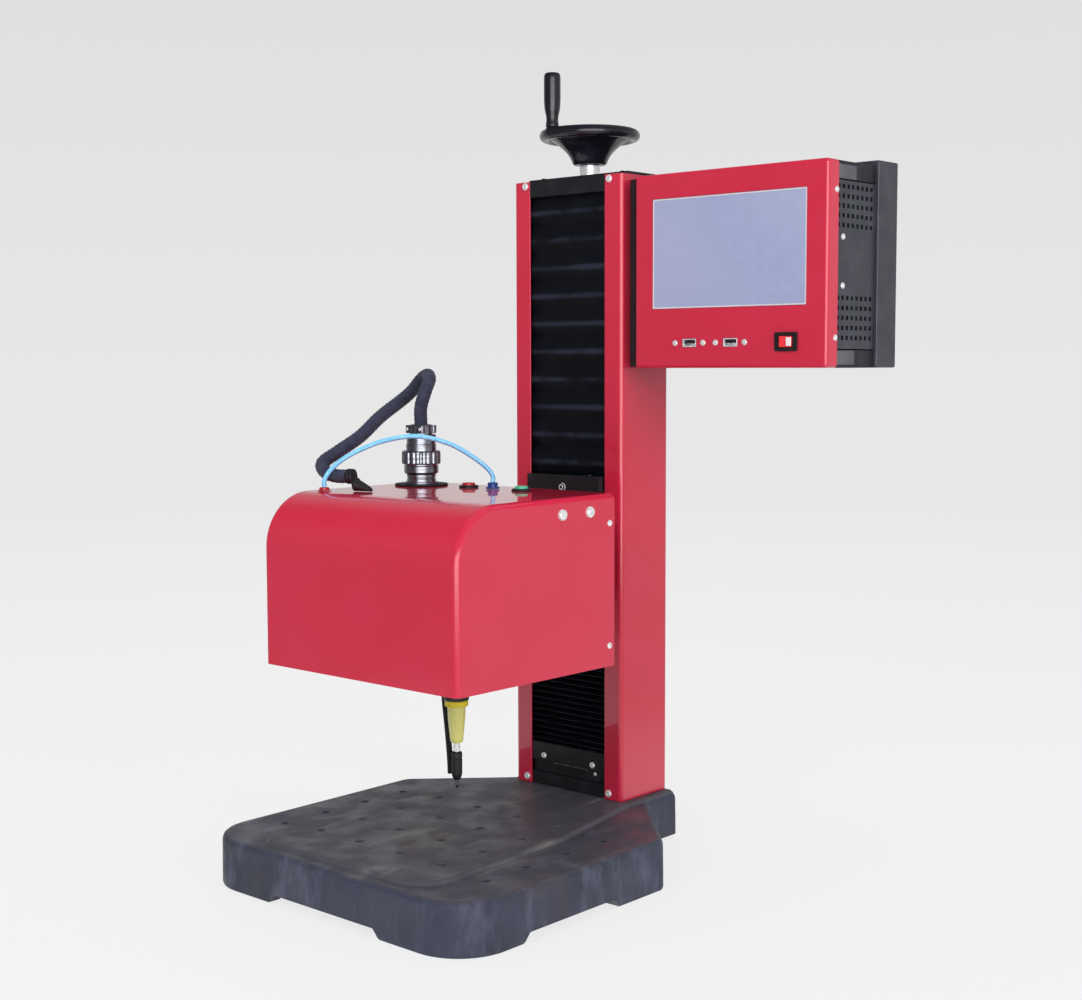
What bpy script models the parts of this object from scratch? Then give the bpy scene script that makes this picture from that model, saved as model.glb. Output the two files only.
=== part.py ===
"""Bench machine that marks metal nameplates with a pneumatic stylus.

The origin is on the ground table, straight under the stylus at its home place.
+X is to the operator's right, +Y towards the column, +Z up. Lengths are in metres.
"""
import math

import bmesh
import bpy
from mathutils import Matrix, Vector
from mathutils.geometry import interpolate_bezier

MM = 0.001
GAP = 0.3 * MM            # between faces that touch on the real machine
RUNNING = 0.4 * MM        # between a piece that slides or turns and its guide
MERGE = 0.1 * MM

# Base casting
BASE_WIDTH = 308 * MM
BASE_HEIGHT = 45.5 * MM
BASE_FRONT = -151 * MM
BASE_CORNER = 45 * MM
BASE_SIDE_END = 86 * MM
BASE_WALL = 12 * MM
BASE_FLOOR = 14 * MM
BASE_RIB = 10 * MM
RIBS_ACROSS = 4
RIBS_ALONG = 4
TABLE_RISE = 3 * MM
TABLE_WIDTH = 202 * MM
TABLE_MARGIN = 15 * MM
TABLE_CORNER = 28 * MM
TAIL_WIDTH = 144 * MM
TAIL_MARGIN = 6 * MM
TAIL_BEHIND_COLUMN = 5.5 * MM
TAIL_LIFT = 4.5 * MM
FOOT_HEIGHT = 8 * MM
FRONT_NOTCH = 126 * MM
SIDE_NOTCH_START = -82 * MM
SIDE_NOTCH_END = 26 * MM
HOLE_PITCH_X = 47.5 * MM
HOLE_PITCH_Y = 46 * MM
HOLE_COLUMNS = 6
HOLE_ROWS = 4
HOLE_FIRST_ROW = -89 * MM
HOLE_RADIUS = 3.4 * MM

# Column
COLUMN_FRONT = 142 * MM
COLUMN_WIDTH = 126 * MM
COLUMN_DEPTH = 66.4 * MM
COLUMN_HEIGHT = 550 * MM
COVER_SHEET = 1.5 * MM
COVER_BEND = 3 * MM
FLANGE_WIDTH = 19.4 * MM
CHANNEL_WALL = 5 * MM
CHANNEL_BEND = 2.5 * MM
CAP_THICKNESS = 3 * MM
CAP_BLOCK_HEIGHT = 14 * MM
FOOT_BLOCK_HEIGHT = 11.7 * MM
FOOT_PLATE_TOP = 40 * MM
FOOT_PLATE_THICKNESS = 6 * MM
UPPER_PLEATS = 10
LOWER_PLEATS = 20
PLEAT_DEPTH = 9 * MM
PLEAT_SHEET = 2.4 * MM
BELLOWS_WIDTH = 92 * MM
RAIL_SPACING = 60 * MM
RAIL_WIDTH = 12 * MM
RAIL_DEPTH = 6 * MM
RAIL_BLOCK_WIDTH = 24 * MM
RAIL_BLOCK_DEPTH = 9 * MM
RAIL_GRIP = 4 * MM

# Lift screw and handwheel
SCREW_BEHIND_FRONT = 32 * MM
SCREW_RADIUS = 7 * MM
JOURNAL_RADIUS = 5 * MM
BEARING_RADIUS = 11 * MM
BEARING_WIDTH = 9 * MM
COLLAR_RADIUS = 9 * MM
COLLAR_HEIGHT = 10 * MM
WHEEL_RADIUS = 45 * MM
RIM_RADIUS = 5 * MM
RIM_RISE = 3.6 * MM
HUB_RADIUS = 14.5 * MM
HUB_HEIGHT = 22.1 * MM
WEB_THICKNESS = 4.5 * MM
WHEEL_NUT_WIDTH = 17 * MM
WHEEL_NUT_HEIGHT = 6 * MM
SPINDLE_RADIUS = 2.6 * MM
GRIP_ANGLE = math.radians(-105.5)
GRIP_HEIGHT = 46.7 * MM
GRIP_RADIUS = 7.4 * MM
GRIP_NECK_RADIUS = 5.3 * MM

# Marking head
HEAD_TOP = 288 * MM
HEAD_BOTTOM = 150 * MM
HEAD_PLATE = 6 * MM
HEAD_PLATE_WIDTH = 85 * MM
BRACKET_WIDTH = 76 * MM
BRACKET_WALL = 8 * MM
BRACKET_FRONT_HEIGHT = 34 * MM
CARRIAGE_PLATE = 5 * MM
WEB_WIDTH = 12 * MM
LIFT_NUT_WIDTH = 30 * MM
LIFT_NUT_HEIGHT = 40 * MM
HOOD_WIDTH = 225 * MM
HOOD_FRONT = -112.2 * MM
HOOD_REAR = 71.6 * MM
HOOD_BOTTOM = 139 * MM
HOOD_TOP = 281.1 * MM
HOOD_BEND = 45 * MM
HOOD_CORNER = 9 * MM
HOOD_SHEET = 1.5 * MM
GANTRY_WIDTH = 200 * MM
GANTRY_THICKNESS = 6 * MM
GANTRY_BOTTOM = 246 * MM
GANTRY_FRONT = -104 * MM
EAR_FRONT = -4 * MM
EAR_REAR = 50 * MM
EAR_TOP = 271 * MM
EAR_SHEET = 5 * MM
Y_ROD_SPACING = 160 * MM
Y_ROD_RADIUS = 5 * MM
Y_ROD_DROP = 16 * MM
ROD_SUPPORT = 14 * MM
ROD_SUPPORT_BELOW = 15 * MM
CHEEK_WIDTH = 22 * MM
BRIDGE_DEPTH = 30 * MM
BRIDGE_CLEARANCE = 3 * MM
BRIDGE_BELOW_BELT = 12 * MM
BRIDGE_BEAM = 8 * MM
X_ROD_RADIUS = 4 * MM
X_ROD_OFFSET = 10 * MM
X_ROD_DROP = 24 * MM
X_CARRIAGE_WIDTH = 36 * MM
X_CARRIAGE_HEIGHT = 18 * MM
MOTOR_SIZE = 35 * MM
X_MOTOR_LENGTH = 33 * MM
Y_MOTOR_LENGTH = 26 * MM
Y_MOTOR_PLACE = (40 * MM, 50 * MM)
MOTOR_SHAFT_RADIUS = 2.5 * MM
X_BELT_DROP = 10 * MM
X_BELT_PLACE = -23 * MM
Y_BELT_DROP = 11.5 * MM
Y_BELT_PLACE = 100 * MM
PULLEY_RADIUS = 5 * MM
PULLEY_WIDTH = 8 * MM
BELT_WIDTH = 6 * MM
BELT_THICKNESS = 1.2 * MM
BELT_CLAMP = 8 * MM
HANGER_SHEET = 2.4 * MM

# Stylus, from the hood down to the point
BARREL_TOP = 106 * MM
BARREL_COLLAR_BOTTOM = 101 * MM
BARREL_BOTTOM = 70 * MM
BARREL_COLLAR_RADIUS = 10 * MM
BARREL_RADIUS = 7.6 * MM
BARREL_END_RADIUS = 5.3 * MM
SHANK_RADIUS = 5 * MM
NECK_RADIUS = 2.6 * MM
NECK_BOTTOM = 62 * MM
PEN_RADIUS = 4.6 * MM
PEN_BOTTOM = 38 * MM
PEN_WALL = 1.2 * MM
NEEDLE_RADIUS = 1.5 * MM
NEEDLE_HEAD_RADIUS = 3 * MM
NEEDLE_HEAD_HEIGHT = 3 * MM
NEEDLE_STROKE = 5 * MM
NEEDLE_TIP = 30 * MM
SPRING_WIRE = 0.45 * MM
SPRING_TURNS = 4
SPRING_CLOSED = 4.6 * MM
HOSE_RADIUS = 2.5 * MM

# On top of the hood
FITTINGS_ROW = 42 * MM
CONNECTOR_X = -75 * MM
CONNECTOR_Y = 34 * MM
GASKET_RADIUS = 23.4 * MM
GASKET_THICKNESS = 1.6 * MM
RECEPTACLE_RADIUS = 12.8 * MM
RECEPTACLE_HEIGHT = 10 * MM
SOCKET_BODY_RADIUS = 10 * MM
SOCKET_BODY_LENGTH = 12 * MM
RED_BUTTON_X = -25 * MM
AIR_FITTING_X = 3.5 * MM
GREEN_BUTTON_X = 36.5 * MM
BUTTON_RADIUS = 5.6 * MM
BUTTON_HEIGHT = 4 * MM
BUTTON_TRAVEL = 1.5 * MM
BEZEL_RADIUS = 8.5 * MM
BEZEL_HEIGHT = 1.8 * MM
BUTTON_BODY_RADIUS = 6.5 * MM
BUTTON_BODY_LENGTH = 16 * MM
CABLE_RADIUS = 6 * MM
TUBE_RADIUS = 2 * MM

# Controller
PANEL_LEFT = 77.3 * MM
PANEL_WIDTH = 191.2 * MM
PANEL_BOTTOM = 383 * MM
PANEL_HEIGHT = 162.8 * MM
PANEL_LIP = 15.2 * MM
PANEL_SHEET = 1.5 * MM
PANEL_EDGE = 2.5 * MM
SCREEN_WIDTH = 152.4 * MM
SCREEN_HEIGHT = 91.5 * MM
SCREEN_LEFT = 19.2 * MM
SCREEN_RISE = 50 * MM
SCREEN_DEPTH = 5 * MM
CHASSIS_INSET = 3.5 * MM
CHASSIS_INSET_TOP = 14 * MM
CHASSIS_DEPTH = 60.4 * MM
CHASSIS_SHEET = 1.2 * MM
REAR_PAN_DEPTH = 30.5 * MM
REAR_PAN_RISE = 4.6 * MM
EDGE_PLATE = 2.5 * MM
BOARD_DEPTH = 12 * MM
SPACER_DEPTH = 32 * MM
SPACER_WIDTH = 20 * MM
PORT_HEIGHT_ABOVE_EDGE = 21 * MM
PORT_WIDTH = 14 * MM
PORT_HEIGHT = 7 * MM
PORT_DEPTH = 15.4 * MM
PORT_PLACES = (57.7 * MM, 99.2 * MM)
PORT_SCREW_SPACING = 28.8 * MM
ROCKER_PLACE = 154 * MM
ROCKER_FRAME_WIDTH = 21 * MM
ROCKER_FRAME_HEIGHT = 15 * MM
ROCKER_TILT = math.radians(9)
ROCKER_WIDTH = 13 * MM
ROCKER_HEIGHT = 9 * MM
ROCKER_DEPTH = 5 * MM
STANDOFF_HEIGHT = 100 * MM

# Screws
# Head radius and head height
M3 = (2.8 * MM, 1.6 * MM)
M4 = (3.5 * MM, 2.0 * MM)
M5 = (5.0 * MM, 3.0 * MM)
PORT_SCREW = (2.0 * MM, 1.0 * MM)

# Places of the screws, from the edge or end of the piece that they hold
FLANGE_SCREW_INSET = 14.3 * MM
FLANGE_SCREW_END = 4 * MM
CAP_SCREW_INSET = 8 * MM
FOOT_SCREW_INSET = 14.6 * MM
FOOT_SCREW_BELOW = 12 * MM
STRIP_SCREW_BELOW = 10.6 * MM
HOOD_SCREW_BELOW = 13.1 * MM
HOOD_SCREWS_BEHIND = (118.6 * MM, 152.2 * MM)
EDGE_SCREW_INSET = 6.5 * MM
EDGE_SCREW_BELOW = 23.9 * MM
EDGE_SCREW_ABOVE = 17.2 * MM
LIP_SCREW_INSET = 3.3 * MM
LIP_SCREW_END = 23.7 * MM
CHASSIS_SCREW_BEHIND = 11.5 * MM
CHASSIS_SCREWS_ABOVE = (65 * MM, 103.5 * MM)

# Sizes that follow from the ones above
COLUMN_REAR = COLUMN_FRONT + COLUMN_DEPTH
COLUMN_SIDE = COLUMN_WIDTH / 2
SLOT_SIDE = COLUMN_SIDE - FLANGE_WIDTH
INNER_FRONT = COLUMN_FRONT + COVER_SHEET + GAP
CHANNEL_SIDE = COLUMN_SIDE - COVER_SHEET - GAP
CHANNEL_INSIDE = CHANNEL_SIDE - CHANNEL_WALL
CHANNEL_REAR = COLUMN_REAR - COVER_SHEET - GAP
WALL_FRONT = CHANNEL_REAR - CHANNEL_WALL
SCREW_Y = COLUMN_FRONT + SCREW_BEHIND_FRONT
CAP_BOTTOM = COLUMN_HEIGHT - CAP_BLOCK_HEIGHT
CAP_TOP = COLUMN_HEIGHT + GAP + CAP_THICKNESS
COLLAR_TOP = CAP_TOP + GAP + COLLAR_HEIGHT
HUB_BOTTOM = COLLAR_TOP + GAP
HUB_TOP = HUB_BOTTOM + HUB_HEIGHT
RIM_HEIGHT = HUB_TOP + RIM_RISE
CARRIAGE_REAR = WALL_FRONT - GAP - RAIL_DEPTH + RAIL_GRIP - RAIL_BLOCK_DEPTH
HOOD_SIDE = HOOD_WIDTH / 2
Y_ROD_HEIGHT = GANTRY_BOTTOM - Y_ROD_DROP
X_ROD_HEIGHT = Y_ROD_HEIGHT - X_ROD_DROP
X_BELT_HEIGHT = X_ROD_HEIGHT - X_BELT_DROP
Y_BELT_HEIGHT = X_ROD_HEIGHT - Y_BELT_DROP
BRIDGE_BOTTOM = X_BELT_HEIGHT - BRIDGE_BELOW_BELT
BRIDGE_TOP = GANTRY_BOTTOM - BRIDGE_CLEARANCE
GRIP_ARM = WHEEL_RADIUS - RIM_RADIUS
PANEL_FRONT = COLUMN_FRONT
CHASSIS_FRONT = PANEL_FRONT + PANEL_LIP + GAP
REAR_PAN_FRONT = CHASSIS_FRONT + CHASSIS_DEPTH + GAP
PANEL_TOP = PANEL_BOTTOM + PANEL_HEIGHT
PANEL_RIGHT = PANEL_LEFT + PANEL_WIDTH
PORT_Z = PANEL_BOTTOM + PORT_HEIGHT_ABOVE_EDGE
BASE_BOTTOM = -BASE_HEIGHT
TAIL_REAR = COLUMN_REAR + TAIL_BEHIND_COLUMN

# The cable leaves the plug upwards, folds over, lies down along the hood and
# turns back into its gland.
CABLE_ROUTE = [
    (-75, 34, 334.8), (-75, 34, 349), (-72.3, 36.6, 362.5), (-75.6, 45.3, 374.1),
    (-94.5, 56.8, 375.6), (-104.3, 48.9, 361.2), (-104.8, 13.1, 340.8),
    (-105.5, -9.1, 325), (-107.5, -35, 311.5), (-107, -51.5, 302.9),
    (-94, -58.2, 296), (-83, -56, 293.6), (-74, -52.7, 293.6),
]
# The air tube arches over the hood's top from its port to its fitting.
TUBE_ROUTE = [
    (-87, -67, 284.9), (-87, -67, 290), (-84, -63.4, 298.1), (-77.5, -55.6, 307.2),
    (-67.9, -44, 315.4), (-54.5, -27.9, 323.1), (-37.3, -7.3, 326.5),
    (-20.1, 13.4, 320), (-7.6, 28.4, 309), (0.8, 38.6, 298.5), (3.5, 42, 292),
    (3.5, 42, 287.2),
]
# The hose hangs beside the stylus from its carriage to the pen.
HOSE_ROUTE = [
    (-15.4, -1, 196.5), (-15.3, -1, 182), (-15, -1, 160), (-14.4, -0.9, 135),
    (-13.9, -0.8, 115), (-13.3, -0.6, 103), (-11.8, -0.4, 90), (-10.2, -0.2, 76),
    (-8.9, 0, 62), (-7.9, 0, 50), (-7.6, 0, 42),
]


# Scene and materials

def clear_scene():
    for old in list(bpy.data.objects):
        bpy.data.objects.remove(old)


def collection(name):
    made = bpy.data.collections.new(name)
    bpy.context.scene.collection.children.link(made)
    return made


def finish(name, colour, roughness, metallic=0.0):
    made = bpy.data.materials.new(name)
    made.use_nodes = True
    shader = made.node_tree.nodes["Principled BSDF"]
    shader.inputs["Base Color"].default_value = (*colour, 1.0)
    shader.inputs["Roughness"].default_value = roughness
    shader.inputs["Metallic"].default_value = metallic
    return made


clear_scene()
PART = collection("nameplate_marking_machine")
CUTTERS = collection("cutters")
RED = finish("red_paint", (0.58, 0.015, 0.035), 0.25)
IRON = finish("iron_paint", (0.06, 0.06, 0.085), 0.6)
BLACK = finish("black_coat", (0.012, 0.013, 0.018), 0.45)
GLOSS = finish("black_gloss", (0.01, 0.01, 0.015), 0.12)
PLEATS = finish("black_fabric", (0.01, 0.011, 0.015), 0.7)
STEEL = finish("bright_steel", (0.75, 0.75, 0.77), 0.25, 1.0)
ALUMINIUM = finish("aluminium", (0.6, 0.6, 0.62), 0.4, 1.0)
YELLOW = finish("yellow_plastic", (0.75, 0.5, 0.01), 0.4)
SCREEN = finish("screen_glass", (0.33, 0.36, 0.6), 0.2)
BLUE = finish("blue_plastic", (0.05, 0.4, 0.8), 0.35)
RED_CAP = finish("red_plastic", (0.5, 0.01, 0.02), 0.3)
GREEN_CAP = finish("green_plastic", (0.05, 0.5, 0.3), 0.3)
BOARD = finish("circuit_board", (0.02, 0.2, 0.06), 0.5)
RUBBER = finish("rubber", (0.02, 0.02, 0.02), 0.8)


# Bodies: each moving one has its empty on its joint's axis

def body(name, place=(0, 0, 0), parent=None):
    made = bpy.data.objects.new(name, None)
    made.empty_display_size = 20 * MM
    PART.objects.link(made)
    made.location = place
    if parent:
        made.parent = parent
        made.matrix_parent_inverse = Matrix.Translation(parent.location).inverted()
    return made


FRAME = body("frame")
LIFT_SCREW = body("lift_screw_axis", (0, SCREW_Y, 0), FRAME)
GRIP_X = GRIP_ARM * math.cos(GRIP_ANGLE)
GRIP_Y = SCREW_Y + GRIP_ARM * math.sin(GRIP_ANGLE)
GRIP = body("grip_axis", (GRIP_X, GRIP_Y, RIM_HEIGHT), LIFT_SCREW)
HEAD = body("head_slide", (0, COLUMN_FRONT, HEAD_BOTTOM), FRAME)
Y_STAGE = body("y_slide", (0, 0, Y_ROD_HEIGHT), HEAD)
X_STAGE = body("x_slide", (0, 0, X_ROD_HEIGHT), Y_STAGE)
NEEDLE = body("needle_slide", (0, 0, PEN_BOTTOM), X_STAGE)
RED_PUSH = body("red_button_slide", (RED_BUTTON_X, FITTINGS_ROW, HOOD_TOP), HEAD)
GREEN_PUSH = body("green_button_slide", (GREEN_BUTTON_X, FITTINGS_ROW, HOOD_TOP), HEAD)
ROCKER_X = PANEL_LEFT + ROCKER_PLACE
ROCKER_Y = PANEL_FRONT - 0.6 * MM
ROCKER = body("rocker_axis", (ROCKER_X, ROCKER_Y, PORT_Z), FRAME)


# Making and placing objects

def add(name, mesh, material, parent, keep=True):
    """Link a mesh in world coordinates as one piece, or as a cutter."""
    made = bpy.data.objects.new(name, mesh)
    (PART if keep else CUTTERS).objects.link(made)
    mesh.materials.clear()
    mesh.materials.append(material)
    if parent:
        made.parent = parent
        made.matrix_parent_inverse = Matrix.Translation(parent.location).inverted()
    if not keep:
        made.hide_render = True
        made.display_type = "WIRE"
    return made


def box_mesh(name, x, y, z):
    """Box from a low and a high value along each axis."""
    work = bmesh.new()
    bmesh.ops.create_cube(work, size=1)
    size = Vector((x[1] - x[0], y[1] - y[0], z[1] - z[0]))
    centre = Vector((x[1] + x[0], y[1] + y[0], z[1] + z[0])) / 2
    bmesh.ops.scale(work, vec=size, verts=work.verts)
    bmesh.ops.translate(work, vec=centre, verts=work.verts)
    return to_mesh(name, work)


def rod_mesh(name, centre, radius, span, axis="Z", segments=24, end_radius=None):
    """Cylinder or cone along an axis, from span[0] to span[1] on that axis."""
    work = bmesh.new()
    tip = radius if end_radius is None else end_radius
    bmesh.ops.create_cone(work, cap_ends=True, segments=segments, radius1=radius,
                          radius2=tip, depth=span[1] - span[0])
    turn = {"X": Matrix.Rotation(math.pi / 2, 4, "Y"),
            "Y": Matrix.Rotation(-math.pi / 2, 4, "X"),
            "Z": Matrix.Identity(4)}[axis]
    bmesh.ops.transform(work, matrix=turn, verts=work.verts)
    middle = (span[0] + span[1]) / 2
    place = list(centre)
    place.insert("XYZ".index(axis), middle)
    bmesh.ops.translate(work, vec=Vector(place), verts=work.verts)
    return to_mesh(name, work)


def to_mesh(name, work):
    bmesh.ops.recalc_face_normals(work, faces=work.faces)
    mesh = bpy.data.meshes.new(name)
    work.to_mesh(mesh)
    work.free()
    return mesh


def shade_round(mesh, angle=35):
    mesh.shade_smooth()
    mesh.set_sharp_from_angle(angle=math.radians(angle))


def rounded(points, steps=6):
    """Outline whose corners (x, y, radius) become arcs of a few steps."""
    outline = []
    count = len(points)
    for i, (x, y, radius) in enumerate(points):
        here = Vector((x, y))
        before = Vector(points[i - 1][:2]) - here
        after = Vector(points[(i + 1) % count][:2]) - here
        if radius <= 0:
            outline.append(here)
            continue
        half = before.angle(after) / 2
        reach = radius / math.tan(half)
        centre = here + (before.normalized() + after.normalized()).normalized() \
            * radius / math.sin(half)
        start = here + before.normalized() * reach - centre
        end = here + after.normalized() * reach - centre
        sweep = math.atan2(start.x * end.y - start.y * end.x, start.dot(end))
        for k in range(steps + 1):
            turned = start.copy()
            turned.rotate(Matrix.Rotation(sweep * k / steps, 2))
            outline.append(centre + turned)
    return outline


def slab_mesh(name, outline, low, high, axis="Z"):
    """Flat outline with thickness, from a filled curve.

    The outline lies in XY for axis Z, in YZ for axis X and in XZ for axis Y.
    """
    curve = bpy.data.curves.new(name + "_outline", "CURVE")
    curve.dimensions = "2D"
    curve.fill_mode = "BOTH"
    curve.extrude = (high - low) / 2
    line = curve.splines.new("POLY")
    line.points.add(len(outline) - 1)
    for point, at in zip(line.points, outline):
        point.co = (at[0], at[1], 0, 1)
    line.use_cyclic_u = True
    mesh = curve_to_mesh(name, curve)
    shift = Matrix.Translation((0, 0, (low + high) / 2))
    turn = {"Z": Matrix.Identity(4),
            "X": Matrix(((0, 0, 1, 0), (1, 0, 0, 0), (0, 1, 0, 0), (0, 0, 0, 1))),
            "Y": Matrix(((1, 0, 0, 0), (0, 0, 1, 0), (0, 1, 0, 0), (0, 0, 0, 1)))}
    mesh.transform(turn[axis] @ shift)
    work = bmesh.new()
    work.from_mesh(mesh)
    return to_mesh(name, work)


def curve_to_mesh(name, curve):
    """Mesh of a curve with its caps welded."""
    holder = bpy.data.objects.new(name + "_curve", curve)
    CUTTERS.objects.link(holder)
    bpy.context.view_layer.update()
    graph = bpy.context.evaluated_depsgraph_get()
    mesh = bpy.data.meshes.new_from_object(holder.evaluated_get(graph))
    bpy.data.objects.remove(holder)
    work = bmesh.new()
    work.from_mesh(mesh)
    bmesh.ops.remove_doubles(work, verts=work.verts, dist=MERGE / 10)
    work.to_mesh(mesh)
    work.free()
    mesh.name = name
    return mesh


def turned_mesh(name, profile, centre, segments=32, closed=False):
    """Turned solid: profile points (radius, height) run down the outer side."""
    mesh = bpy.data.meshes.new(name)
    work = bmesh.new()
    points = [work.verts.new((radius, 0, height)) for radius, height in profile]
    for a, b in zip(points, points[1:]):
        work.edges.new((a, b))
    if closed:
        work.edges.new((points[-1], points[0]))
    work.to_mesh(mesh)
    work.free()
    holder = bpy.data.objects.new(name + "_profile", mesh)
    CUTTERS.objects.link(holder)
    screw = holder.modifiers.new("turn", "SCREW")
    screw.axis = "Z"
    screw.steps = segments
    screw.render_steps = segments
    screw.use_merge_vertices = True
    screw.merge_threshold = MERGE / 10
    bpy.context.view_layer.update()
    graph = bpy.context.evaluated_depsgraph_get()
    solid = bpy.data.meshes.new_from_object(holder.evaluated_get(graph))
    bpy.data.objects.remove(holder)
    solid.transform(Matrix.Translation((centre[0], centre[1], 0)))
    solid.name = name
    work = bmesh.new()
    work.from_mesh(solid)
    bmesh.ops.remove_doubles(work, verts=work.verts, dist=MERGE / 10)
    solid = to_mesh(name, work)
    shade_round(solid)
    return solid


def tube_mesh(name, route, radius, count, resolution=2):
    """Round tube along a smooth curve through a route given in millimetres."""
    curve = bpy.data.curves.new(name + "_path", "CURVE")
    curve.dimensions = "3D"
    curve.bevel_depth = radius
    curve.bevel_resolution = resolution
    curve.use_fill_caps = True
    line = curve.splines.new("POLY")
    points = smooth_points([Vector(point) * MM for point in route], count)
    line.points.add(len(points) - 1)
    for point, at in zip(line.points, points):
        point.co = (*at, 1)
    mesh = curve_to_mesh(name, curve)
    shade_round(mesh)
    return mesh


def smooth_points(points, count):
    """Even points along a smooth curve through the given ones."""
    ends = [2 * points[0] - points[1]] + points + [2 * points[-1] - points[-2]]
    dense = []
    for a, b, c, d in zip(ends, ends[1:], ends[2:], ends[3:]):
        reach = (c - b).length / 3
        leave = b + (c - a).normalized() * reach
        arrive = c - (d - b).normalized() * reach
        dense += interpolate_bezier(b, leave, arrive, c, 20)[:-1]
    dense.append(points[-1])
    travelled = [0.0]
    for p, q in zip(dense, dense[1:]):
        travelled.append(travelled[-1] + (q - p).length)
    even = [points[0]]
    place = 0
    for k in range(1, count):
        target = travelled[-1] * k / count
        while travelled[place + 1] < target:
            place += 1
        share = (target - travelled[place]) / (travelled[place + 1] - travelled[place])
        even.append(dense[place].lerp(dense[place + 1], share))
    return even + [points[-1]]


def modify(target, operation, other):
    change = target.modifiers.new(operation.lower(), "BOOLEAN")
    change.operation = operation
    change.solver = "EXACT"
    change.object = other


def cut(target, *meshes):
    """Take each mesh away from a piece."""
    for mesh in meshes:
        name = target.name + "_cut_" + str(len(target.modifiers))
        modify(target, "DIFFERENCE", add(name, mesh, RUBBER, None, keep=False))


def join(target, *meshes):
    """Weld each mesh, which overlaps the piece, onto it."""
    for mesh in meshes:
        name = target.name + "_joined_" + str(len(target.modifiers))
        modify(target, "UNION", add(name, mesh, RUBBER, None, keep=False))


def soften(target, width, segments=2, angle=40):
    edge = target.modifiers.new("edges", "BEVEL")
    edge.width = width
    edge.segments = segments
    edge.limit_method = "ANGLE"
    edge.angle_limit = math.radians(angle)


def both(value):
    return (-value, value)


def from_to(start, length):
    return (start, start + length)


def around(centre, width):
    return (centre - width / 2, centre + width / 2)


def mirrored(points):
    """Close a right-hand outline (x, y, radius) with its mirror image."""
    return points + [(-x, y, radius) for x, y, radius in reversed(points)]


def screw_heads(piece, places, size):
    """Heads of like screws, as one with the piece they hold.

    Each place is (point on the face, axis, outward sense).
    """
    head_radius, head_height = size
    for at, axis, outward in places:
        along = "XYZ".index(axis)
        across = [value for k, value in enumerate(at) if k != along]
        ends = sorted((at[along] - outward * 0.8 * MM, at[along] + outward * head_height))
        join(piece, rod_mesh("screw_head", across, head_radius, ends, axis, 16))


def welded(name, first, *others):
    """Union of a few meshes, made at once."""
    holder = bpy.data.objects.new(name + "_weld", first)
    CUTTERS.objects.link(holder)
    helpers = []
    for k, other in enumerate(others):
        helper = bpy.data.objects.new(name + "_weld_" + str(k), other)
        CUTTERS.objects.link(helper)
        helpers.append(helper)
        modify(holder, "UNION", helper)
    bpy.context.view_layer.update()
    graph = bpy.context.evaluated_depsgraph_get()
    mesh = bpy.data.meshes.new_from_object(holder.evaluated_get(graph))
    for used in [holder] + helpers:
        bpy.data.objects.remove(used)
    mesh.name = name
    return mesh


# Base

def base_outline(width, front, side_end, tail, rear, corner):
    """Right half of the base seen from above, mirrored to the whole."""
    side = width / 2
    half_tail = tail / 2
    return rounded(mirrored([
        (side, front, corner),
        (side, side_end, 6 * MM),
        (half_tail, side_end + side - half_tail, 6 * MM),
        (half_tail, rear, 5 * MM),
    ]), steps=6)


def base_casting():
    outline = base_outline(BASE_WIDTH, BASE_FRONT, BASE_SIDE_END, TAIL_WIDTH,
                           TAIL_REAR, BASE_CORNER)
    margin_top = -TABLE_RISE
    casting = add("base_casting", slab_mesh("base", outline, BASE_BOTTOM, margin_top),
                  IRON, FRAME)
    soften(casting, 2.5 * MM, 1, angle=60)
    rear_half = TAIL_WIDTH / 2 - TAIL_MARGIN / 2
    table = rounded(mirrored([
        (TABLE_WIDTH / 2, BASE_FRONT + TABLE_MARGIN, TABLE_CORNER),
        (TABLE_WIDTH / 2 - 9 * MM, BASE_SIDE_END / 3, 80 * MM),
        (rear_half, COLUMN_FRONT, 20 * MM),
        (rear_half, TAIL_REAR - TAIL_MARGIN, 3 * MM),
    ]))
    join(casting, slab_mesh("table", table, margin_top - TABLE_RISE, 0))
    pockets(casting)
    below = BASE_BOTTOM - FOOT_HEIGHT
    notch_top = BASE_BOTTOM + FOOT_HEIGHT
    tail_start = BASE_SIDE_END + BASE_WIDTH / 2 - TAIL_WIDTH / 2 + 8 * MM
    cut(casting,
        box_mesh("front_notch", both(FRONT_NOTCH / 2),
                 (BASE_FRONT - BASE_WALL, tail_start + BASE_WALL), (below, notch_top)),
        box_mesh("side_notch", both(BASE_WIDTH),
                 (SIDE_NOTCH_START, SIDE_NOTCH_END), (below, notch_top)),
        box_mesh("tail_notch", both(TAIL_WIDTH),
                 (tail_start, TAIL_REAR + BASE_WALL), (below, BASE_BOTTOM + TAIL_LIFT)))
    first = -HOLE_PITCH_X * (HOLE_COLUMNS - 1) / 2
    for row in range(HOLE_ROWS):
        for column in range(HOLE_COLUMNS):
            at = (first + column * HOLE_PITCH_X, HOLE_FIRST_ROW + row * HOLE_PITCH_Y)
            cut(casting, rod_mesh("table_hole", at, HOLE_RADIUS,
                                  (-BASE_FLOOR - TABLE_RISE, TABLE_RISE), segments=8))


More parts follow.
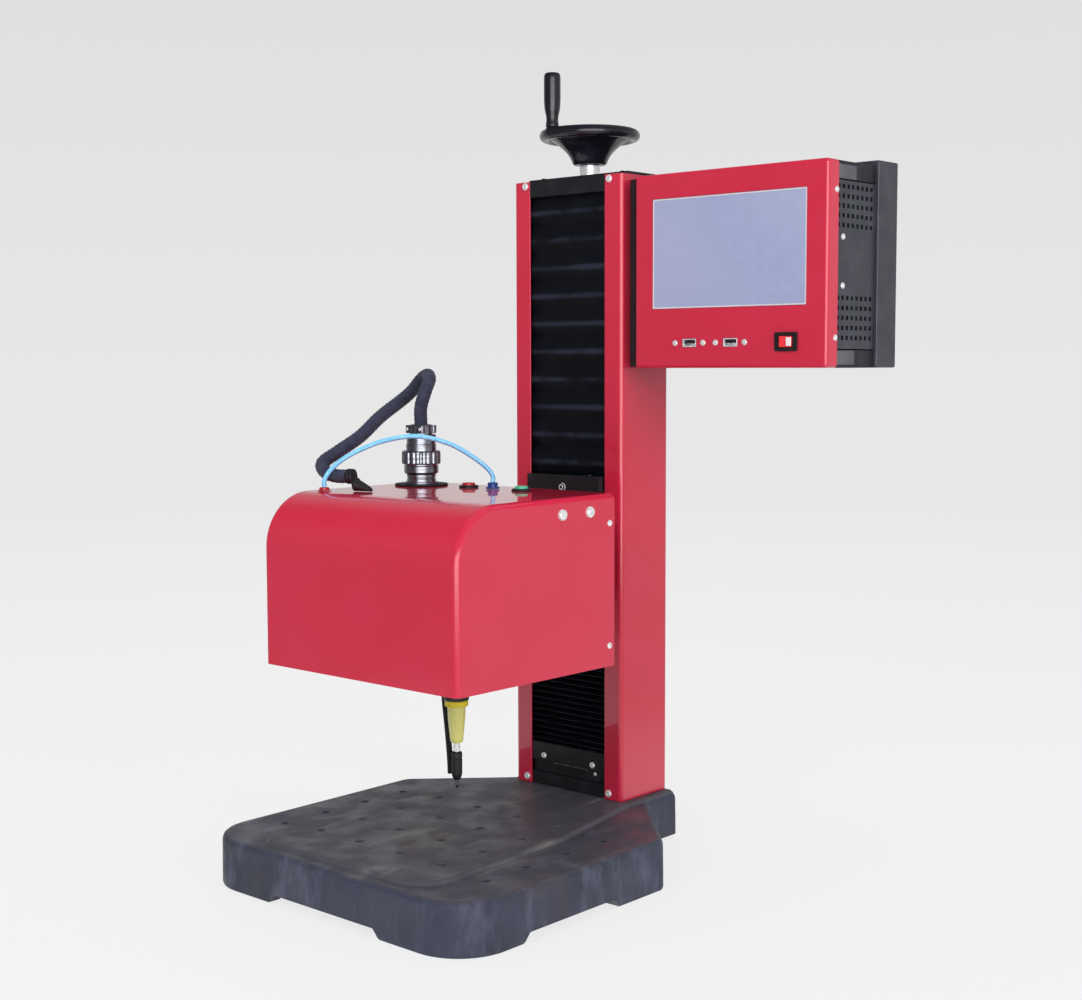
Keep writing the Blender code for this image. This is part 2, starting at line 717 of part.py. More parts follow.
def pockets(casting):
    """Hollow the casting from below, leaving walls, ribs and the table."""
    inner_width = BASE_WIDTH - 2 * BASE_WALL
    front = BASE_FRONT + BASE_WALL
    inner_depth = BASE_SIDE_END - front
    width = (inner_width - (RIBS_ACROSS - 1) * BASE_RIB) / RIBS_ACROSS
    depth = (inner_depth - (RIBS_ALONG - 1) * BASE_RIB) / RIBS_ALONG
    for i in range(RIBS_ACROSS):
        for j in range(RIBS_ALONG):
            left = -inner_width / 2 + i * (width + BASE_RIB)
            start = front + j * (depth + BASE_RIB)
            corner = j == 0 and i in (0, RIBS_ACROSS - 1)
            radius = BASE_CORNER - BASE_WALL if corner else 0
            inside = 0
            right = left + width
            lower_left = radius if i == 0 and corner else inside
            lower_right = radius if i == RIBS_ACROSS - 1 and corner else inside
            shape = rounded([(left, start, lower_left), (right, start, lower_right),
                             (right, start + depth, inside), (left, start + depth, inside)],
                            steps=3)
            cut(casting, slab_mesh("pocket", shape, BASE_BOTTOM - BASE_WALL, -BASE_FLOOR))


# Column

def column_cover():
    """Sheet bent right round the column, with a slot down its front."""
    side, inside = COLUMN_SIDE, COLUMN_SIDE - COVER_SHEET
    front, within = COLUMN_FRONT, COLUMN_FRONT + COVER_SHEET
    inner = COVER_BEND - COVER_SHEET
    outer_half = [(SLOT_SIDE, within, 0), (SLOT_SIDE, front, 0), (side, front, COVER_BEND),
                  (side, COLUMN_REAR, COVER_BEND)]
    inner_half = [(inside, COLUMN_REAR - COVER_SHEET, inner), (inside, within, inner)]
    round_outside = mirrored(outer_half)
    round_inside = [(-x, y, radius) for x, y, radius in reversed(inner_half)] + inner_half
    outline = rounded(round_outside + round_inside, steps=4)
    add("column_cover", slab_mesh("column_cover", outline, GAP, COLUMN_HEIGHT), RED, FRAME)


def column_channel():
    """Steel channel that carries the rails, closed behind."""
    side, front = CHANNEL_SIDE, INNER_FRONT
    outline = rounded(mirrored([(side, front, CHANNEL_BEND), (side, CHANNEL_REAR,
                                                              CHANNEL_BEND)]), steps=4)
    channel = add("column_channel", slab_mesh("channel", outline, GAP, COLUMN_HEIGHT),
                  BLACK, FRAME)
    cut(channel, box_mesh("channel_inside", both(CHANNEL_INSIDE),
                          (front - CHANNEL_WALL, WALL_FRONT),
                          (-CHANNEL_WALL, COLUMN_HEIGHT + CHANNEL_WALL)))


def column_ends():
    """Top cap, foot block and foot plate, with the screw's two bearings."""
    inside = CHANNEL_INSIDE - GAP
    rear = WALL_FRONT - GAP
    cap = add("top_cap", box_mesh("cap", both(COLUMN_SIDE), (COLUMN_FRONT, COLUMN_REAR),
                                  (COLUMN_HEIGHT + GAP, CAP_TOP)), BLACK, FRAME)
    join(cap,
         box_mesh("cap_block", both(inside), (INNER_FRONT, rear),
                  (CAP_BOTTOM, CAP_TOP - MM)),
         box_mesh("cap_face", both(SLOT_SIDE - GAP), (COLUMN_FRONT, INNER_FRONT + MM),
                  (CAP_BOTTOM, CAP_TOP - MM)))
    bore = BEARING_RADIUS + GAP
    seat = CAP_BOTTOM + BEARING_WIDTH
    cut(cap,
        rod_mesh("cap_bore", (0, SCREW_Y), JOURNAL_RADIUS + 2 * RUNNING,
                 (CAP_BOTTOM - MM, CAP_TOP + MM)),
        rod_mesh("cap_seat", (0, SCREW_Y), bore, (CAP_BOTTOM - MM, seat + GAP)))
    bearing("top_bearing", CAP_BOTTOM, seat)
    block = add("foot_block", box_mesh("foot_block", both(inside), (INNER_FRONT, rear),
                                       (GAP, GAP + FOOT_BLOCK_HEIGHT)), BLACK, FRAME)
    low = GAP + FOOT_BLOCK_HEIGHT - BEARING_WIDTH
    cut(block, rod_mesh("foot_seat", (0, SCREW_Y), bore,
                        (low - GAP, FOOT_BLOCK_HEIGHT + BEARING_WIDTH)))
    bearing("foot_bearing", low, GAP + FOOT_BLOCK_HEIGHT)
    plate = add("foot_plate", box_mesh(
        "foot_plate", both(SLOT_SIDE - GAP),
        from_to(COLUMN_FRONT + MM, FOOT_PLATE_THICKNESS),
        (FOOT_BLOCK_HEIGHT + 2 * GAP, FOOT_PLATE_TOP)), BLACK, FRAME)
    soften(plate, 0.8 * MM, 1)


def bearing(name, low, high):
    inner = JOURNAL_RADIUS + RUNNING / 8
    profile = [(inner, high), (BEARING_RADIUS, high), (BEARING_RADIUS, low), (inner, low)]
    add(name, turned_mesh(name, profile, (0, SCREW_Y), closed=True), STEEL, FRAME)


def rails():
    for name, side in (("left_guide_rail", -1), ("right_guide_rail", 1)):
        mesh = box_mesh(name, around(side * RAIL_SPACING / 2, RAIL_WIDTH),
                        (WALL_FRONT - GAP - RAIL_DEPTH, WALL_FRONT - GAP),
                        (FOOT_BLOCK_HEIGHT + 2 * MM, CAP_BOTTOM - 2 * MM))
        add(name, mesh, STEEL, FRAME)


def bellows(name, low, high, pleats):
    """Pleated cover: one zigzag sheet across the slot of the column."""
    front = INNER_FRONT + GAP
    pitch = (high - low) / pleats
    ridge = []
    for k in range(pleats):
        ridge += [(front + PLEAT_DEPTH, low + k * pitch), (front, low + (k + 0.5) * pitch)]
    ridge.append((front + PLEAT_DEPTH, high))
    back = [(y + PLEAT_SHEET, z) for y, z in reversed(ridge)]
    half = BELLOWS_WIDTH / 2
    add(name, slab_mesh(name, ridge + back, -half, half, "X"), PLEATS, FRAME)


# Lift screw, handwheel and grip

def lift_screw():
    shaft_low = GAP + FOOT_BLOCK_HEIGHT + GAP
    shaft_high = CAP_BOTTOM - GAP
    foot = FOOT_BLOCK_HEIGHT - BEARING_WIDTH + MM
    end = HUB_TOP + GAP + WHEEL_NUT_HEIGHT + 4 * MM
    profile = [(0, end), (JOURNAL_RADIUS - MM, end), (JOURNAL_RADIUS, end - MM),
               (JOURNAL_RADIUS, shaft_high), (SCREW_RADIUS, shaft_high),
               (SCREW_RADIUS, shaft_low), (JOURNAL_RADIUS, shaft_low),
               (JOURNAL_RADIUS, foot), (0, foot)]
    add("lift_screw", turned_mesh("lift_screw", profile, (0, SCREW_Y), 24), STEEL,
        LIFT_SCREW)


def handwheel():
    """Dished wheel: hub, flared web and round rim in one moulding."""
    bore = JOURNAL_RADIUS + GAP
    rim_arc = [(GRIP_ARM + RIM_RADIUS * math.cos(math.radians(a)),
                RIM_HEIGHT + RIM_RADIUS * math.sin(math.radians(a)))
               for a in range(150, -121, -45)]
    inner_rim = GRIP_ARM - RIM_RADIUS
    low = HUB_BOTTOM
    profile = [(bore, HUB_TOP), (HUB_RADIUS - 2 * MM, HUB_TOP),
               (HUB_RADIUS, HUB_TOP - 5 * MM), (HUB_RADIUS + 6 * MM, HUB_TOP - 5 * MM),
               (inner_rim - 3 * MM, RIM_HEIGHT + WEB_THICKNESS / 2 - 1.5 * MM)] + rim_arc + [
               (inner_rim - MM, RIM_HEIGHT - WEB_THICKNESS),
               (inner_rim - 9 * MM, RIM_HEIGHT - WEB_THICKNESS - 4 * MM),
               (HUB_RADIUS + 6 * MM, low + 12 * MM), (HUB_RADIUS + 2.5 * MM, low + 6 * MM),
               (HUB_RADIUS, low), (bore, low)]
    wheel = add("handwheel", turned_mesh("handwheel", profile, (0, SCREW_Y), 32,
                                         closed=True), GLOSS, LIFT_SCREW)
    join(wheel, rod_mesh("grip_spindle", (GRIP_X, GRIP_Y), SPINDLE_RADIUS,
                         (RIM_HEIGHT, RIM_HEIGHT + RIM_RADIUS + GRIP_HEIGHT - 10 * MM),
                         segments=16))
    profile = [(bore, COLLAR_TOP), (COLLAR_RADIUS, COLLAR_TOP),
               (COLLAR_RADIUS, CAP_TOP + GAP), (bore, CAP_TOP + GAP)]
    add("wheel_collar", turned_mesh("wheel_collar", profile, (0, SCREW_Y), 28, closed=True),
        STEEL, LIFT_SCREW)
    nut = add("wheel_nut", rod_mesh("wheel_nut", (0, SCREW_Y), WHEEL_NUT_WIDTH / 2,
                                    from_to(HUB_TOP + GAP, WHEEL_NUT_HEIGHT), segments=6),
              STEEL, LIFT_SCREW)
    cut(nut, rod_mesh("nut_hole", (0, SCREW_Y), bore,
                      (HUB_TOP - MM, HUB_TOP + 2 * WHEEL_NUT_HEIGHT)))


def revolving_grip():
    base = RIM_HEIGHT + RIM_RADIUS + GAP
    top = base + GRIP_HEIGHT
    bore = SPINDLE_RADIUS + RUNNING
    bore_top = top - 9 * MM
    profile = [(0, top), (GRIP_RADIUS - 2.5 * MM, top), (GRIP_RADIUS - 0.7 * MM, top - 0.7 * MM),
               (GRIP_RADIUS, top - 3 * MM), (GRIP_RADIUS, base + GRIP_HEIGHT / 2),
               (GRIP_RADIUS - 0.6 * MM, base + GRIP_HEIGHT / 3),
               (GRIP_NECK_RADIUS, base + GRIP_HEIGHT / 6),
               (GRIP_NECK_RADIUS + 0.5 * MM, base + 2 * MM),
               (GRIP_NECK_RADIUS + 0.5 * MM, base), (bore, base), (bore, bore_top),
               (0, bore_top)]
    add("revolving_grip", turned_mesh("revolving_grip", profile, (GRIP_X, GRIP_Y), 20),
        GLOSS, GRIP)


# Marking head

def head_bracket():
    """Face plate in the column's slot, with two arms that carry the gantry."""
    plate_front = COLUMN_FRONT - HEAD_PLATE
    arm_front = HOOD_REAR - HOOD_SHEET - 12 * MM
    top = GANTRY_BOTTOM - GAP
    bracket = add("head_bracket", box_mesh(
        "face_plate", both(HEAD_PLATE_WIDTH / 2), (plate_front, COLUMN_FRONT),
        (HEAD_BOTTOM, HEAD_TOP)), BLACK, HEAD)
    arm = rounded([(arm_front, top, 0), (arm_front, top - BRACKET_FRONT_HEIGHT, 0),
                   (plate_front + MM, HEAD_BOTTOM + 12 * MM, 0), (plate_front + MM, top, 0)])
    inside = BRACKET_WIDTH / 2 - BRACKET_WALL
    join(bracket,
         slab_mesh("arm_right", arm, inside, BRACKET_WIDTH / 2, "X"),
         slab_mesh("arm_left", arm, -BRACKET_WIDTH / 2, -inside, "X"))


def lift_carriage():
    """Plate behind the screw with two webs out to the slot."""
    rear = CARRIAGE_REAR
    front = rear - CARRIAGE_PLATE
    low, high = HEAD_BOTTOM + GAP, HEAD_TOP - GAP
    carriage = add("lift_carriage", box_mesh(
        "carriage", both(RAIL_SPACING / 2 + RAIL_BLOCK_WIDTH / 2), (front, rear),
        (low, high)), BLACK, HEAD)
    middle = RAIL_SPACING / 2 + 2 * MM
    for side in (-1, 1):
        join(carriage, box_mesh("web", around(side * middle, WEB_WIDTH),
                                (COLUMN_FRONT + GAP, front + MM), (low, high)))
    for name, side in (("left_rail_block", -1), ("right_rail_block", 1)):
        add(name, rail_block(side * RAIL_SPACING / 2, low + 5 * MM, high - 5 * MM), STEEL,
            HEAD)
    nut_low = (low + high - LIFT_NUT_HEIGHT) / 2
    nut = add("lift_nut", box_mesh(
        "lift_nut", both(LIFT_NUT_WIDTH / 2), (SCREW_Y - LIFT_NUT_WIDTH / 2, front - GAP),
        from_to(nut_low, LIFT_NUT_HEIGHT)), STEEL, HEAD)
    cut(nut, rod_mesh("nut_bore", (0, SCREW_Y), SCREW_RADIUS + RUNNING,
                      (nut_low - MM, nut_low + LIFT_NUT_HEIGHT + MM)))


def rail_block(x, low, high):
    """Long block that straddles a rail, as a flat outline with its groove."""
    front = CARRIAGE_REAR + GAP
    rear = front + RAIL_BLOCK_DEPTH
    rail_front = WALL_FRONT - GAP - RAIL_DEPTH - RUNNING
    half, groove = RAIL_BLOCK_WIDTH / 2, RAIL_WIDTH / 2 + RUNNING
    right = [(half, front, 0), (half, rear, 0), (groove, rear, 0), (groove, rail_front, 0)]
    outline = [(x + point.x, point.y) for point in rounded(mirrored(right))]
    return slab_mesh("rail_block", outline, low, high)


def hood_solid(name, inset, rear, bottom):
    """Side profile of the hood, bent at the top front, across its width."""
    front, top = HOOD_FRONT + inset, HOOD_TOP - inset
    outline = rounded([(front, bottom, 0), (rear, bottom, 0), (rear, top, 0),
                       (front, top, HOOD_BEND - inset)], steps=8)
    mesh = slab_mesh(name, outline, -HOOD_SIDE + inset, HOOD_SIDE - inset, "X")
    corner = HOOD_CORNER - inset
    work = bmesh.new()
    work.from_mesh(mesh)
    bmesh.ops.dissolve_limit(work, angle_limit=0.01, verts=work.verts, edges=work.edges)
    edges = []
    for edge in work.edges:
        a, b = (vertex.co for vertex in edge.verts)
        on_side = abs(a.x - b.x) < MERGE and abs(abs(a.x) - HOOD_SIDE + inset) < MERGE
        behind = min(a.y, b.y) > rear - MERGE
        below = max(a.z, b.z) < bottom + MERGE
        if on_side and not behind and not below and len(edge.link_faces) == 2 \
                and edge.calc_face_angle() > 1:
            edges.append(edge)
    bmesh.ops.bevel(work, geom=edges, offset=corner, segments=3, profile=0.5,
                    affect="EDGES", clamp_overlap=True)
    return to_mesh(name, work)


def hood():
    shell = add("hood", hood_solid("hood", 0, HOOD_REAR, HOOD_BOTTOM), RED, HEAD)
    beyond = 20 * MM
    cut(shell, hood_solid("hood_inside", HOOD_SHEET, HOOD_REAR + beyond,
                          HOOD_BOTTOM - beyond))
    holes = [(CONNECTOR_X, CONNECTOR_Y, SOCKET_BODY_RADIUS + GAP),
             (RED_BUTTON_X, FITTINGS_ROW, BUTTON_BODY_RADIUS + GAP),
             (GREEN_BUTTON_X, FITTINGS_ROW, BUTTON_BODY_RADIUS + GAP)]
    for x, y, radius in holes:
        cut(shell, rod_mesh("hood_hole", (x, y), radius,
                            (HOOD_TOP - 4 * HOOD_SHEET, HOOD_TOP + MM), segments=20))
    rear = HOOD_REAR - 0.5 * MM
    side = HOOD_SIDE - HOOD_SHEET - GAP
    top = HOOD_TOP - HOOD_SHEET - GAP
    outline = rounded(mirrored([(side, HOOD_BOTTOM + 2 * MM, 0), (side, top, HOOD_CORNER)]),
                      steps=4)
    panel = add("hood_back", slab_mesh("hood_back", outline, rear - HOOD_SHEET, rear, "Y"),
                RED, HEAD)
    cut(panel, box_mesh("back_opening", both(BRACKET_WIDTH / 2 + GAP),
                        (rear - beyond, rear + beyond),
                        (HOOD_BOTTOM - beyond, GANTRY_BOTTOM + GANTRY_THICKNESS + GAP)))


def gantry():
    """Plate on the bracket's arms, with the rods of the Y axis below it."""
    rear = COLUMN_FRONT - HEAD_PLATE - GAP
    shoulder = HOOD_REAR - 12 * MM
    wide, narrow = GANTRY_WIDTH / 2, BRACKET_WIDTH / 2
    outline = rounded(mirrored([(wide, GANTRY_FRONT, 4 * MM), (wide, shoulder, 4 * MM),
                                (narrow, shoulder, 0), (narrow, rear, 0)]), steps=3)
    gantry_plate = add("gantry_plate", slab_mesh("gantry_plate", outline, GANTRY_BOTTOM,
                                                 GANTRY_BOTTOM + GANTRY_THICKNESS),
                       ALUMINIUM, HEAD)
    front = GANTRY_FRONT + 2 * MM
    back = shoulder - 2 * MM
    inside_plate = GANTRY_BOTTOM + MM
    idler_at = (front + ROD_SUPPORT / 2, Y_BELT_HEIGHT)
    for name, side in (("left_y_rod", -1), ("right_y_rod", 1)):
        x = side * Y_ROD_SPACING / 2
        for low in (front, back - ROD_SUPPORT):
            holds_idler = side == 1 and low == front
            lowest = Y_BELT_HEIGHT if holds_idler else Y_ROD_HEIGHT
            below = PULLEY_RADIUS + 5 * MM if holds_idler else ROD_SUPPORT_BELOW
            join(gantry_plate, box_mesh("support", around(x, CHEEK_WIDTH),
                                        from_to(low, ROD_SUPPORT),
                                        (lowest - below, inside_plate)))
            cut(gantry_plate, rod_mesh("support_hole", (x, Y_ROD_HEIGHT), Y_ROD_RADIUS + GAP,
                                       (low - MM, low + ROD_SUPPORT + MM), "Y", 20))
        add(name, rod_mesh(name, (x, Y_ROD_HEIGHT), Y_ROD_RADIUS,
                           (front + MM, back - MM), "Y", 20), STEEL, HEAD)
    inside_hood = HOOD_SIDE - HOOD_SHEET - GAP
    for hand in (-1, 1):
        join(gantry_plate,
             box_mesh("ear_foot", sorted((hand * (wide - MM), hand * inside_hood)),
                      (EAR_FRONT, EAR_REAR), (GANTRY_BOTTOM, GANTRY_BOTTOM + EAR_SHEET)),
             box_mesh("ear", sorted((hand * (inside_hood - EAR_SHEET), hand * inside_hood)),
                      (EAR_FRONT, EAR_REAR), (GANTRY_BOTTOM + MM, EAR_TOP)))
    hanger_x = Y_MOTOR_PLACE[0] + Y_MOTOR_LENGTH + GAP
    join(gantry_plate,
         box_mesh("hanger", from_to(hanger_x, HANGER_SHEET),
                  around(Y_MOTOR_PLACE[1], MOTOR_SIZE - 4 * MM),
                  (Y_BELT_HEIGHT - MOTOR_SIZE / 2, inside_plate)))
    cut(gantry_plate,
        rod_mesh("hanger_hole", (Y_MOTOR_PLACE[1], Y_BELT_HEIGHT), 2 * MOTOR_SHAFT_RADIUS,
                 (hanger_x - MM, hanger_x + HANGER_SHEET + MM), "X", 16))
    edge = Y_ROD_SPACING / 2 + CHEEK_WIDTH / 2
    join(gantry_plate, pulley_mesh(idler_at, "X", edge - BELT_CLAMP, Y_BELT_PLACE))
    y_belt_and_motor(idler_at)


def pulley_mesh(at, axis, start, belt_place):
    """Shaft from start, with a pulley round it where the belt runs."""
    away = 1 if belt_place > start else -1
    end = belt_place + away * (PULLEY_WIDTH / 2 + MM)
    shaft = rod_mesh("shaft", at, MOTOR_SHAFT_RADIUS, sorted((start, end)), axis, 16)
    pulley = rod_mesh("pulley", at, PULLEY_RADIUS, around(belt_place, PULLEY_WIDTH), axis, 24)
    return welded("pulley", shaft, pulley)


def motor_mesh(name, ranges, at, axis, face, belt_place):
    """Square can, its face plate at face, with shaft and pulley out to the belt."""
    away = 1 if belt_place > face else -1
    return welded(name, box_mesh(name, *ranges),
                  pulley_mesh(at, axis, face - away * MM, belt_place))


def belt_mesh(name, ends, height, place, axis):
    """Flat belt round two pulleys: ends along its run, one common height."""
    inner = PULLEY_RADIUS + GAP
    outer = inner + BELT_THICKNESS
    loops = []
    for reach, width in ((outer, BELT_WIDTH), (inner, 2 * BELT_WIDTH)):
        low, high = ends[0] - reach, ends[1] + reach
        outline = rounded([(low, height - reach, reach * 0.999), (high, height - reach,
                           reach * 0.999), (high, height + reach, reach * 0.999),
                           (low, height + reach, reach * 0.999)], steps=6)
        loops.append(slab_mesh(name, outline, place - width / 2, place + width / 2, axis))
    return difference(name, *loops)


def y_belt_and_motor(idler_at):
    x, y = Y_MOTOR_PLACE
    z = Y_BELT_HEIGHT
    can = (from_to(x, Y_MOTOR_LENGTH), around(y, MOTOR_SIZE), around(z, MOTOR_SIZE))
    add("y_motor", motor_mesh("y_motor", can, (y, z), "X", x + Y_MOTOR_LENGTH, Y_BELT_PLACE),
        BLACK, HEAD)
    add("y_belt", belt_mesh("y_belt", (idler_at[0], y), z, Y_BELT_PLACE, "X"), RUBBER, HEAD)


def difference(name, first, *others):
    """First mesh less the others, made at once."""
    holder = bpy.data.objects.new(name + "_less", first)
    CUTTERS.objects.link(holder)
    helpers = []
    for k, other in enumerate(others):
        helper = bpy.data.objects.new(name + "_less_" + str(k), other)
        CUTTERS.objects.link(helper)
        helpers.append(helper)
        modify(holder, "DIFFERENCE", helper)
    bpy.context.view_layer.update()
    graph = bpy.context.evaluated_depsgraph_get()
    mesh = bpy.data.meshes.new_from_object(holder.evaluated_get(graph))
    for used in [holder] + helpers:
        bpy.data.objects.remove(used)
    return mesh


def y_stage():
    """Bridge that rides on the Y rods and carries the X rods."""
    cheek_x = Y_ROD_SPACING / 2
    half = BRIDGE_DEPTH / 2
    inner = cheek_x - CHEEK_WIDTH / 2
    bridge = add("y_bridge", box_mesh(
        "bridge_beam", both(inner + MM), both(half), (BRIDGE_TOP - BRIDGE_BEAM, BRIDGE_TOP)),
        ALUMINIUM, Y_STAGE)
    for side in (-1, 1):
        join(bridge, box_mesh("cheek", around(side * cheek_x, CHEEK_WIDTH), both(half),
                              (BRIDGE_BOTTOM, BRIDGE_TOP)))
    for side in (-1, 1):
        cut(bridge, rod_mesh("y_bush", (side * cheek_x, Y_ROD_HEIGHT),
                             Y_ROD_RADIUS + RUNNING, both(half + MM), "Y", 20))
    for name, side in (("front_x_rod", -1), ("rear_x_rod", 1)):
        y = side * X_ROD_OFFSET
        cut(bridge, rod_mesh("x_seat", (y, X_ROD_HEIGHT), X_ROD_RADIUS + GAP,
                             both(cheek_x + CHEEK_WIDTH), "X", 16))
        add(name, rod_mesh(name, (y, X_ROD_HEIGHT), X_ROD_RADIUS,
                           both(cheek_x + CHEEK_WIDTH / 2 - MM), "X", 16), STEEL, Y_STAGE)
    cut(bridge, rod_mesh("shaft_hole", (-cheek_x, X_BELT_HEIGHT),
                         MOTOR_SHAFT_RADIUS + RUNNING, both(half + MM), "Y", 16))
    join(bridge, pulley_mesh((cheek_x, X_BELT_HEIGHT), "Y", -half + MM, X_BELT_PLACE))
    clamp_top = Y_BELT_HEIGHT + PULLEY_RADIUS + GAP + BELT_THICKNESS + 3 * MM
    edge = cheek_x + CHEEK_WIDTH / 2
    join(bridge, box_mesh("belt_clamp", (edge - MM, Y_BELT_PLACE + BELT_WIDTH / 2 + MM),
                          both(BELT_CLAMP / 2), (clamp_top - BELT_CLAMP, clamp_top)))
    run = Y_BELT_HEIGHT + PULLEY_RADIUS
    cut(bridge, box_mesh("belt_slot", (Y_BELT_PLACE - BELT_WIDTH / 2 - GAP,
                                       Y_BELT_PLACE + BELT_WIDTH),
                         both(BELT_CLAMP), (run, run + BELT_THICKNESS + 2 * GAP)))
    rear = half + GAP
    can = (around(-cheek_x, MOTOR_SIZE), from_to(rear, X_MOTOR_LENGTH),
           around(X_BELT_HEIGHT, MOTOR_SIZE))
    add("x_motor", motor_mesh("x_motor", can, (-cheek_x, X_BELT_HEIGHT), "Y", rear,
                              X_BELT_PLACE), BLACK, Y_STAGE)
    add("x_belt", belt_mesh("x_belt", both(cheek_x), X_BELT_HEIGHT, X_BELT_PLACE, "Y"),
        RUBBER, Y_STAGE)


def x_stage():
    half = X_CARRIAGE_WIDTH / 2
    low = X_ROD_HEIGHT - X_CARRIAGE_HEIGHT / 2
    high = X_ROD_HEIGHT + X_CARRIAGE_HEIGHT / 2
    block = add("x_carriage", box_mesh("x_carriage", both(half), both(BRIDGE_DEPTH / 2),
                                       (low, high)), ALUMINIUM, X_STAGE)
    join(block, rod_mesh("clamp", (0, 0), SHANK_RADIUS * 2, (low - 12 * MM, low + MM)))
    for side in (-1, 1):
        cut(block, rod_mesh("x_bush", (side * X_ROD_OFFSET, X_ROD_HEIGHT),
                            X_ROD_RADIUS + RUNNING, both(half + MM), "X", 16))
    cut(block, rod_mesh("clamp_bore", (0, 0), SHANK_RADIUS + GAP,
                        (low - 13 * MM, low - MM)))
    run = X_BELT_HEIGHT + PULLEY_RADIUS
    join(block, box_mesh("belt_clamp", both(BELT_CLAMP),
                         (X_BELT_PLACE - BELT_WIDTH / 2 - MM, MM - BRIDGE_DEPTH / 2),
                         (run - 3 * MM, run + 4 * MM)))
    cut(block, box_mesh("belt_slot", both(2 * BELT_CLAMP),
                        (X_BELT_PLACE - BELT_WIDTH, X_BELT_PLACE + BELT_WIDTH / 2 + GAP),
                        (run, run + BELT_THICKNESS + 2 * GAP)))
    stylus(low)


def stylus(clamp_top):
    """Barrel with its shank in the clamp, pen with its neck, needle and spring."""
    sleeve = [(0, clamp_top - 2 * MM), (SHANK_RADIUS, clamp_top - 2 * MM),
              (SHANK_RADIUS, BARREL_TOP), (BARREL_COLLAR_RADIUS, BARREL_TOP),
              (BARREL_COLLAR_RADIUS, BARREL_COLLAR_BOTTOM),
              (BARREL_RADIUS, BARREL_COLLAR_BOTTOM),
              (BARREL_RADIUS - 0.6 * MM, BARREL_COLLAR_BOTTOM - 12 * MM),
              (BARREL_END_RADIUS, BARREL_BOTTOM), (0, BARREL_BOTTOM)]
    add("stylus_barrel", turned_mesh("stylus_barrel", sleeve, (0, 0), 28), YELLOW, X_STAGE)
    bore = PEN_RADIUS - PEN_WALL
    ceiling = NECK_BOTTOM - 3 * MM
    floor = PEN_BOTTOM + 2.5 * MM
    nose = NEEDLE_RADIUS + RUNNING
    pen = [(0, BARREL_BOTTOM - GAP), (NECK_RADIUS, BARREL_BOTTOM - GAP),
           (NECK_RADIUS, NECK_BOTTOM), (PEN_RADIUS - MM, NECK_BOTTOM), (PEN_RADIUS, NECK_BOTTOM - MM),
           (PEN_RADIUS, PEN_BOTTOM + 4 * MM), (PEN_RADIUS - 2 * MM, PEN_BOTTOM),
           (nose, PEN_BOTTOM), (nose, floor), (bore, floor), (bore, ceiling), (0, ceiling)]
    add("stylus_pen", turned_mesh("stylus_pen", pen, (0, 0), 24), BLACK, X_STAGE)
    head_low = floor + SPRING_CLOSED + NEEDLE_STROKE
    head_high = head_low + NEEDLE_HEAD_HEIGHT
    point = NEEDLE_RADIUS * 2
    needle = [(0, head_high), (NEEDLE_HEAD_RADIUS, head_high),
              (NEEDLE_HEAD_RADIUS, head_low), (NEEDLE_RADIUS, head_low),
              (NEEDLE_RADIUS, NEEDLE_TIP + point), (0, NEEDLE_TIP)]
    add("needle", turned_mesh("needle", needle, (0, 0), 16), STEEL, NEEDLE)
    spring(floor + GAP, head_low - GAP)


def spring(low, high):
    """Return spring round the needle, under its head."""
    radius = NEEDLE_RADIUS + 0.25 * MM + SPRING_WIRE
    clear = SPRING_WIRE * 1.2
    climb = high - low - 2 * clear
    route = []
    for k in range(SPRING_TURNS * 9 + 1):
        turn = k / 9
        angle = 2 * math.pi * turn
        route.append(Vector((radius * math.cos(angle), radius * math.sin(angle),
                             low + clear + climb * turn / SPRING_TURNS)))
    curve = bpy.data.curves.new("return_spring_path", "CURVE")
    curve.dimensions = "3D"
    curve.bevel_depth = SPRING_WIRE
    curve.bevel_resolution = 1
    curve.use_fill_caps = True
    line = curve.splines.new("POLY")
    line.points.add(len(route) - 1)
    for point, at in zip(line.points, route):
        point.co = (*at, 1)
    add("return_spring", curve_to_mesh("return_spring", curve), STEEL, X_STAGE)


# What stands on the hood

def connector():
    """Gasket and receptacle fixed to the hood, with the plug screwed onto it."""
    at = (CONNECTOR_X, CONNECTOR_Y)
    base = HOOD_TOP + GAP
    seat = base + GASKET_THICKNESS
    top = base + RECEPTACLE_HEIGHT
    profile = [(0, top), (RECEPTACLE_RADIUS, top), (RECEPTACLE_RADIUS, seat),
               (GASKET_RADIUS, seat), (GASKET_RADIUS, base), (SOCKET_BODY_RADIUS, base),
               (SOCKET_BODY_RADIUS, base - SOCKET_BODY_LENGTH), (0, base - SOCKET_BODY_LENGTH)]
    add("connector_socket", turned_mesh("connector_socket", profile, at, 24), STEEL, HEAD)
    low = top + GAP
    ring_low, ring_high = low + 8 * MM, low + 20 * MM
    body_high, plug_top = low + 34 * MM, CABLE_ROUTE[0][2] * MM - GAP
    plug = [(0, plug_top), (12 * MM, plug_top), (12 * MM, body_high), (13.2 * MM, body_high),
            (13.2 * MM, ring_high), (17 * MM, ring_high - MM), (17 * MM, ring_low + MM),
            (15.2 * MM, ring_low), (15.2 * MM, low), (0, low)]
    add("connector_plug", turned_mesh("connector_plug", plug, at, 24), STEEL, HEAD)


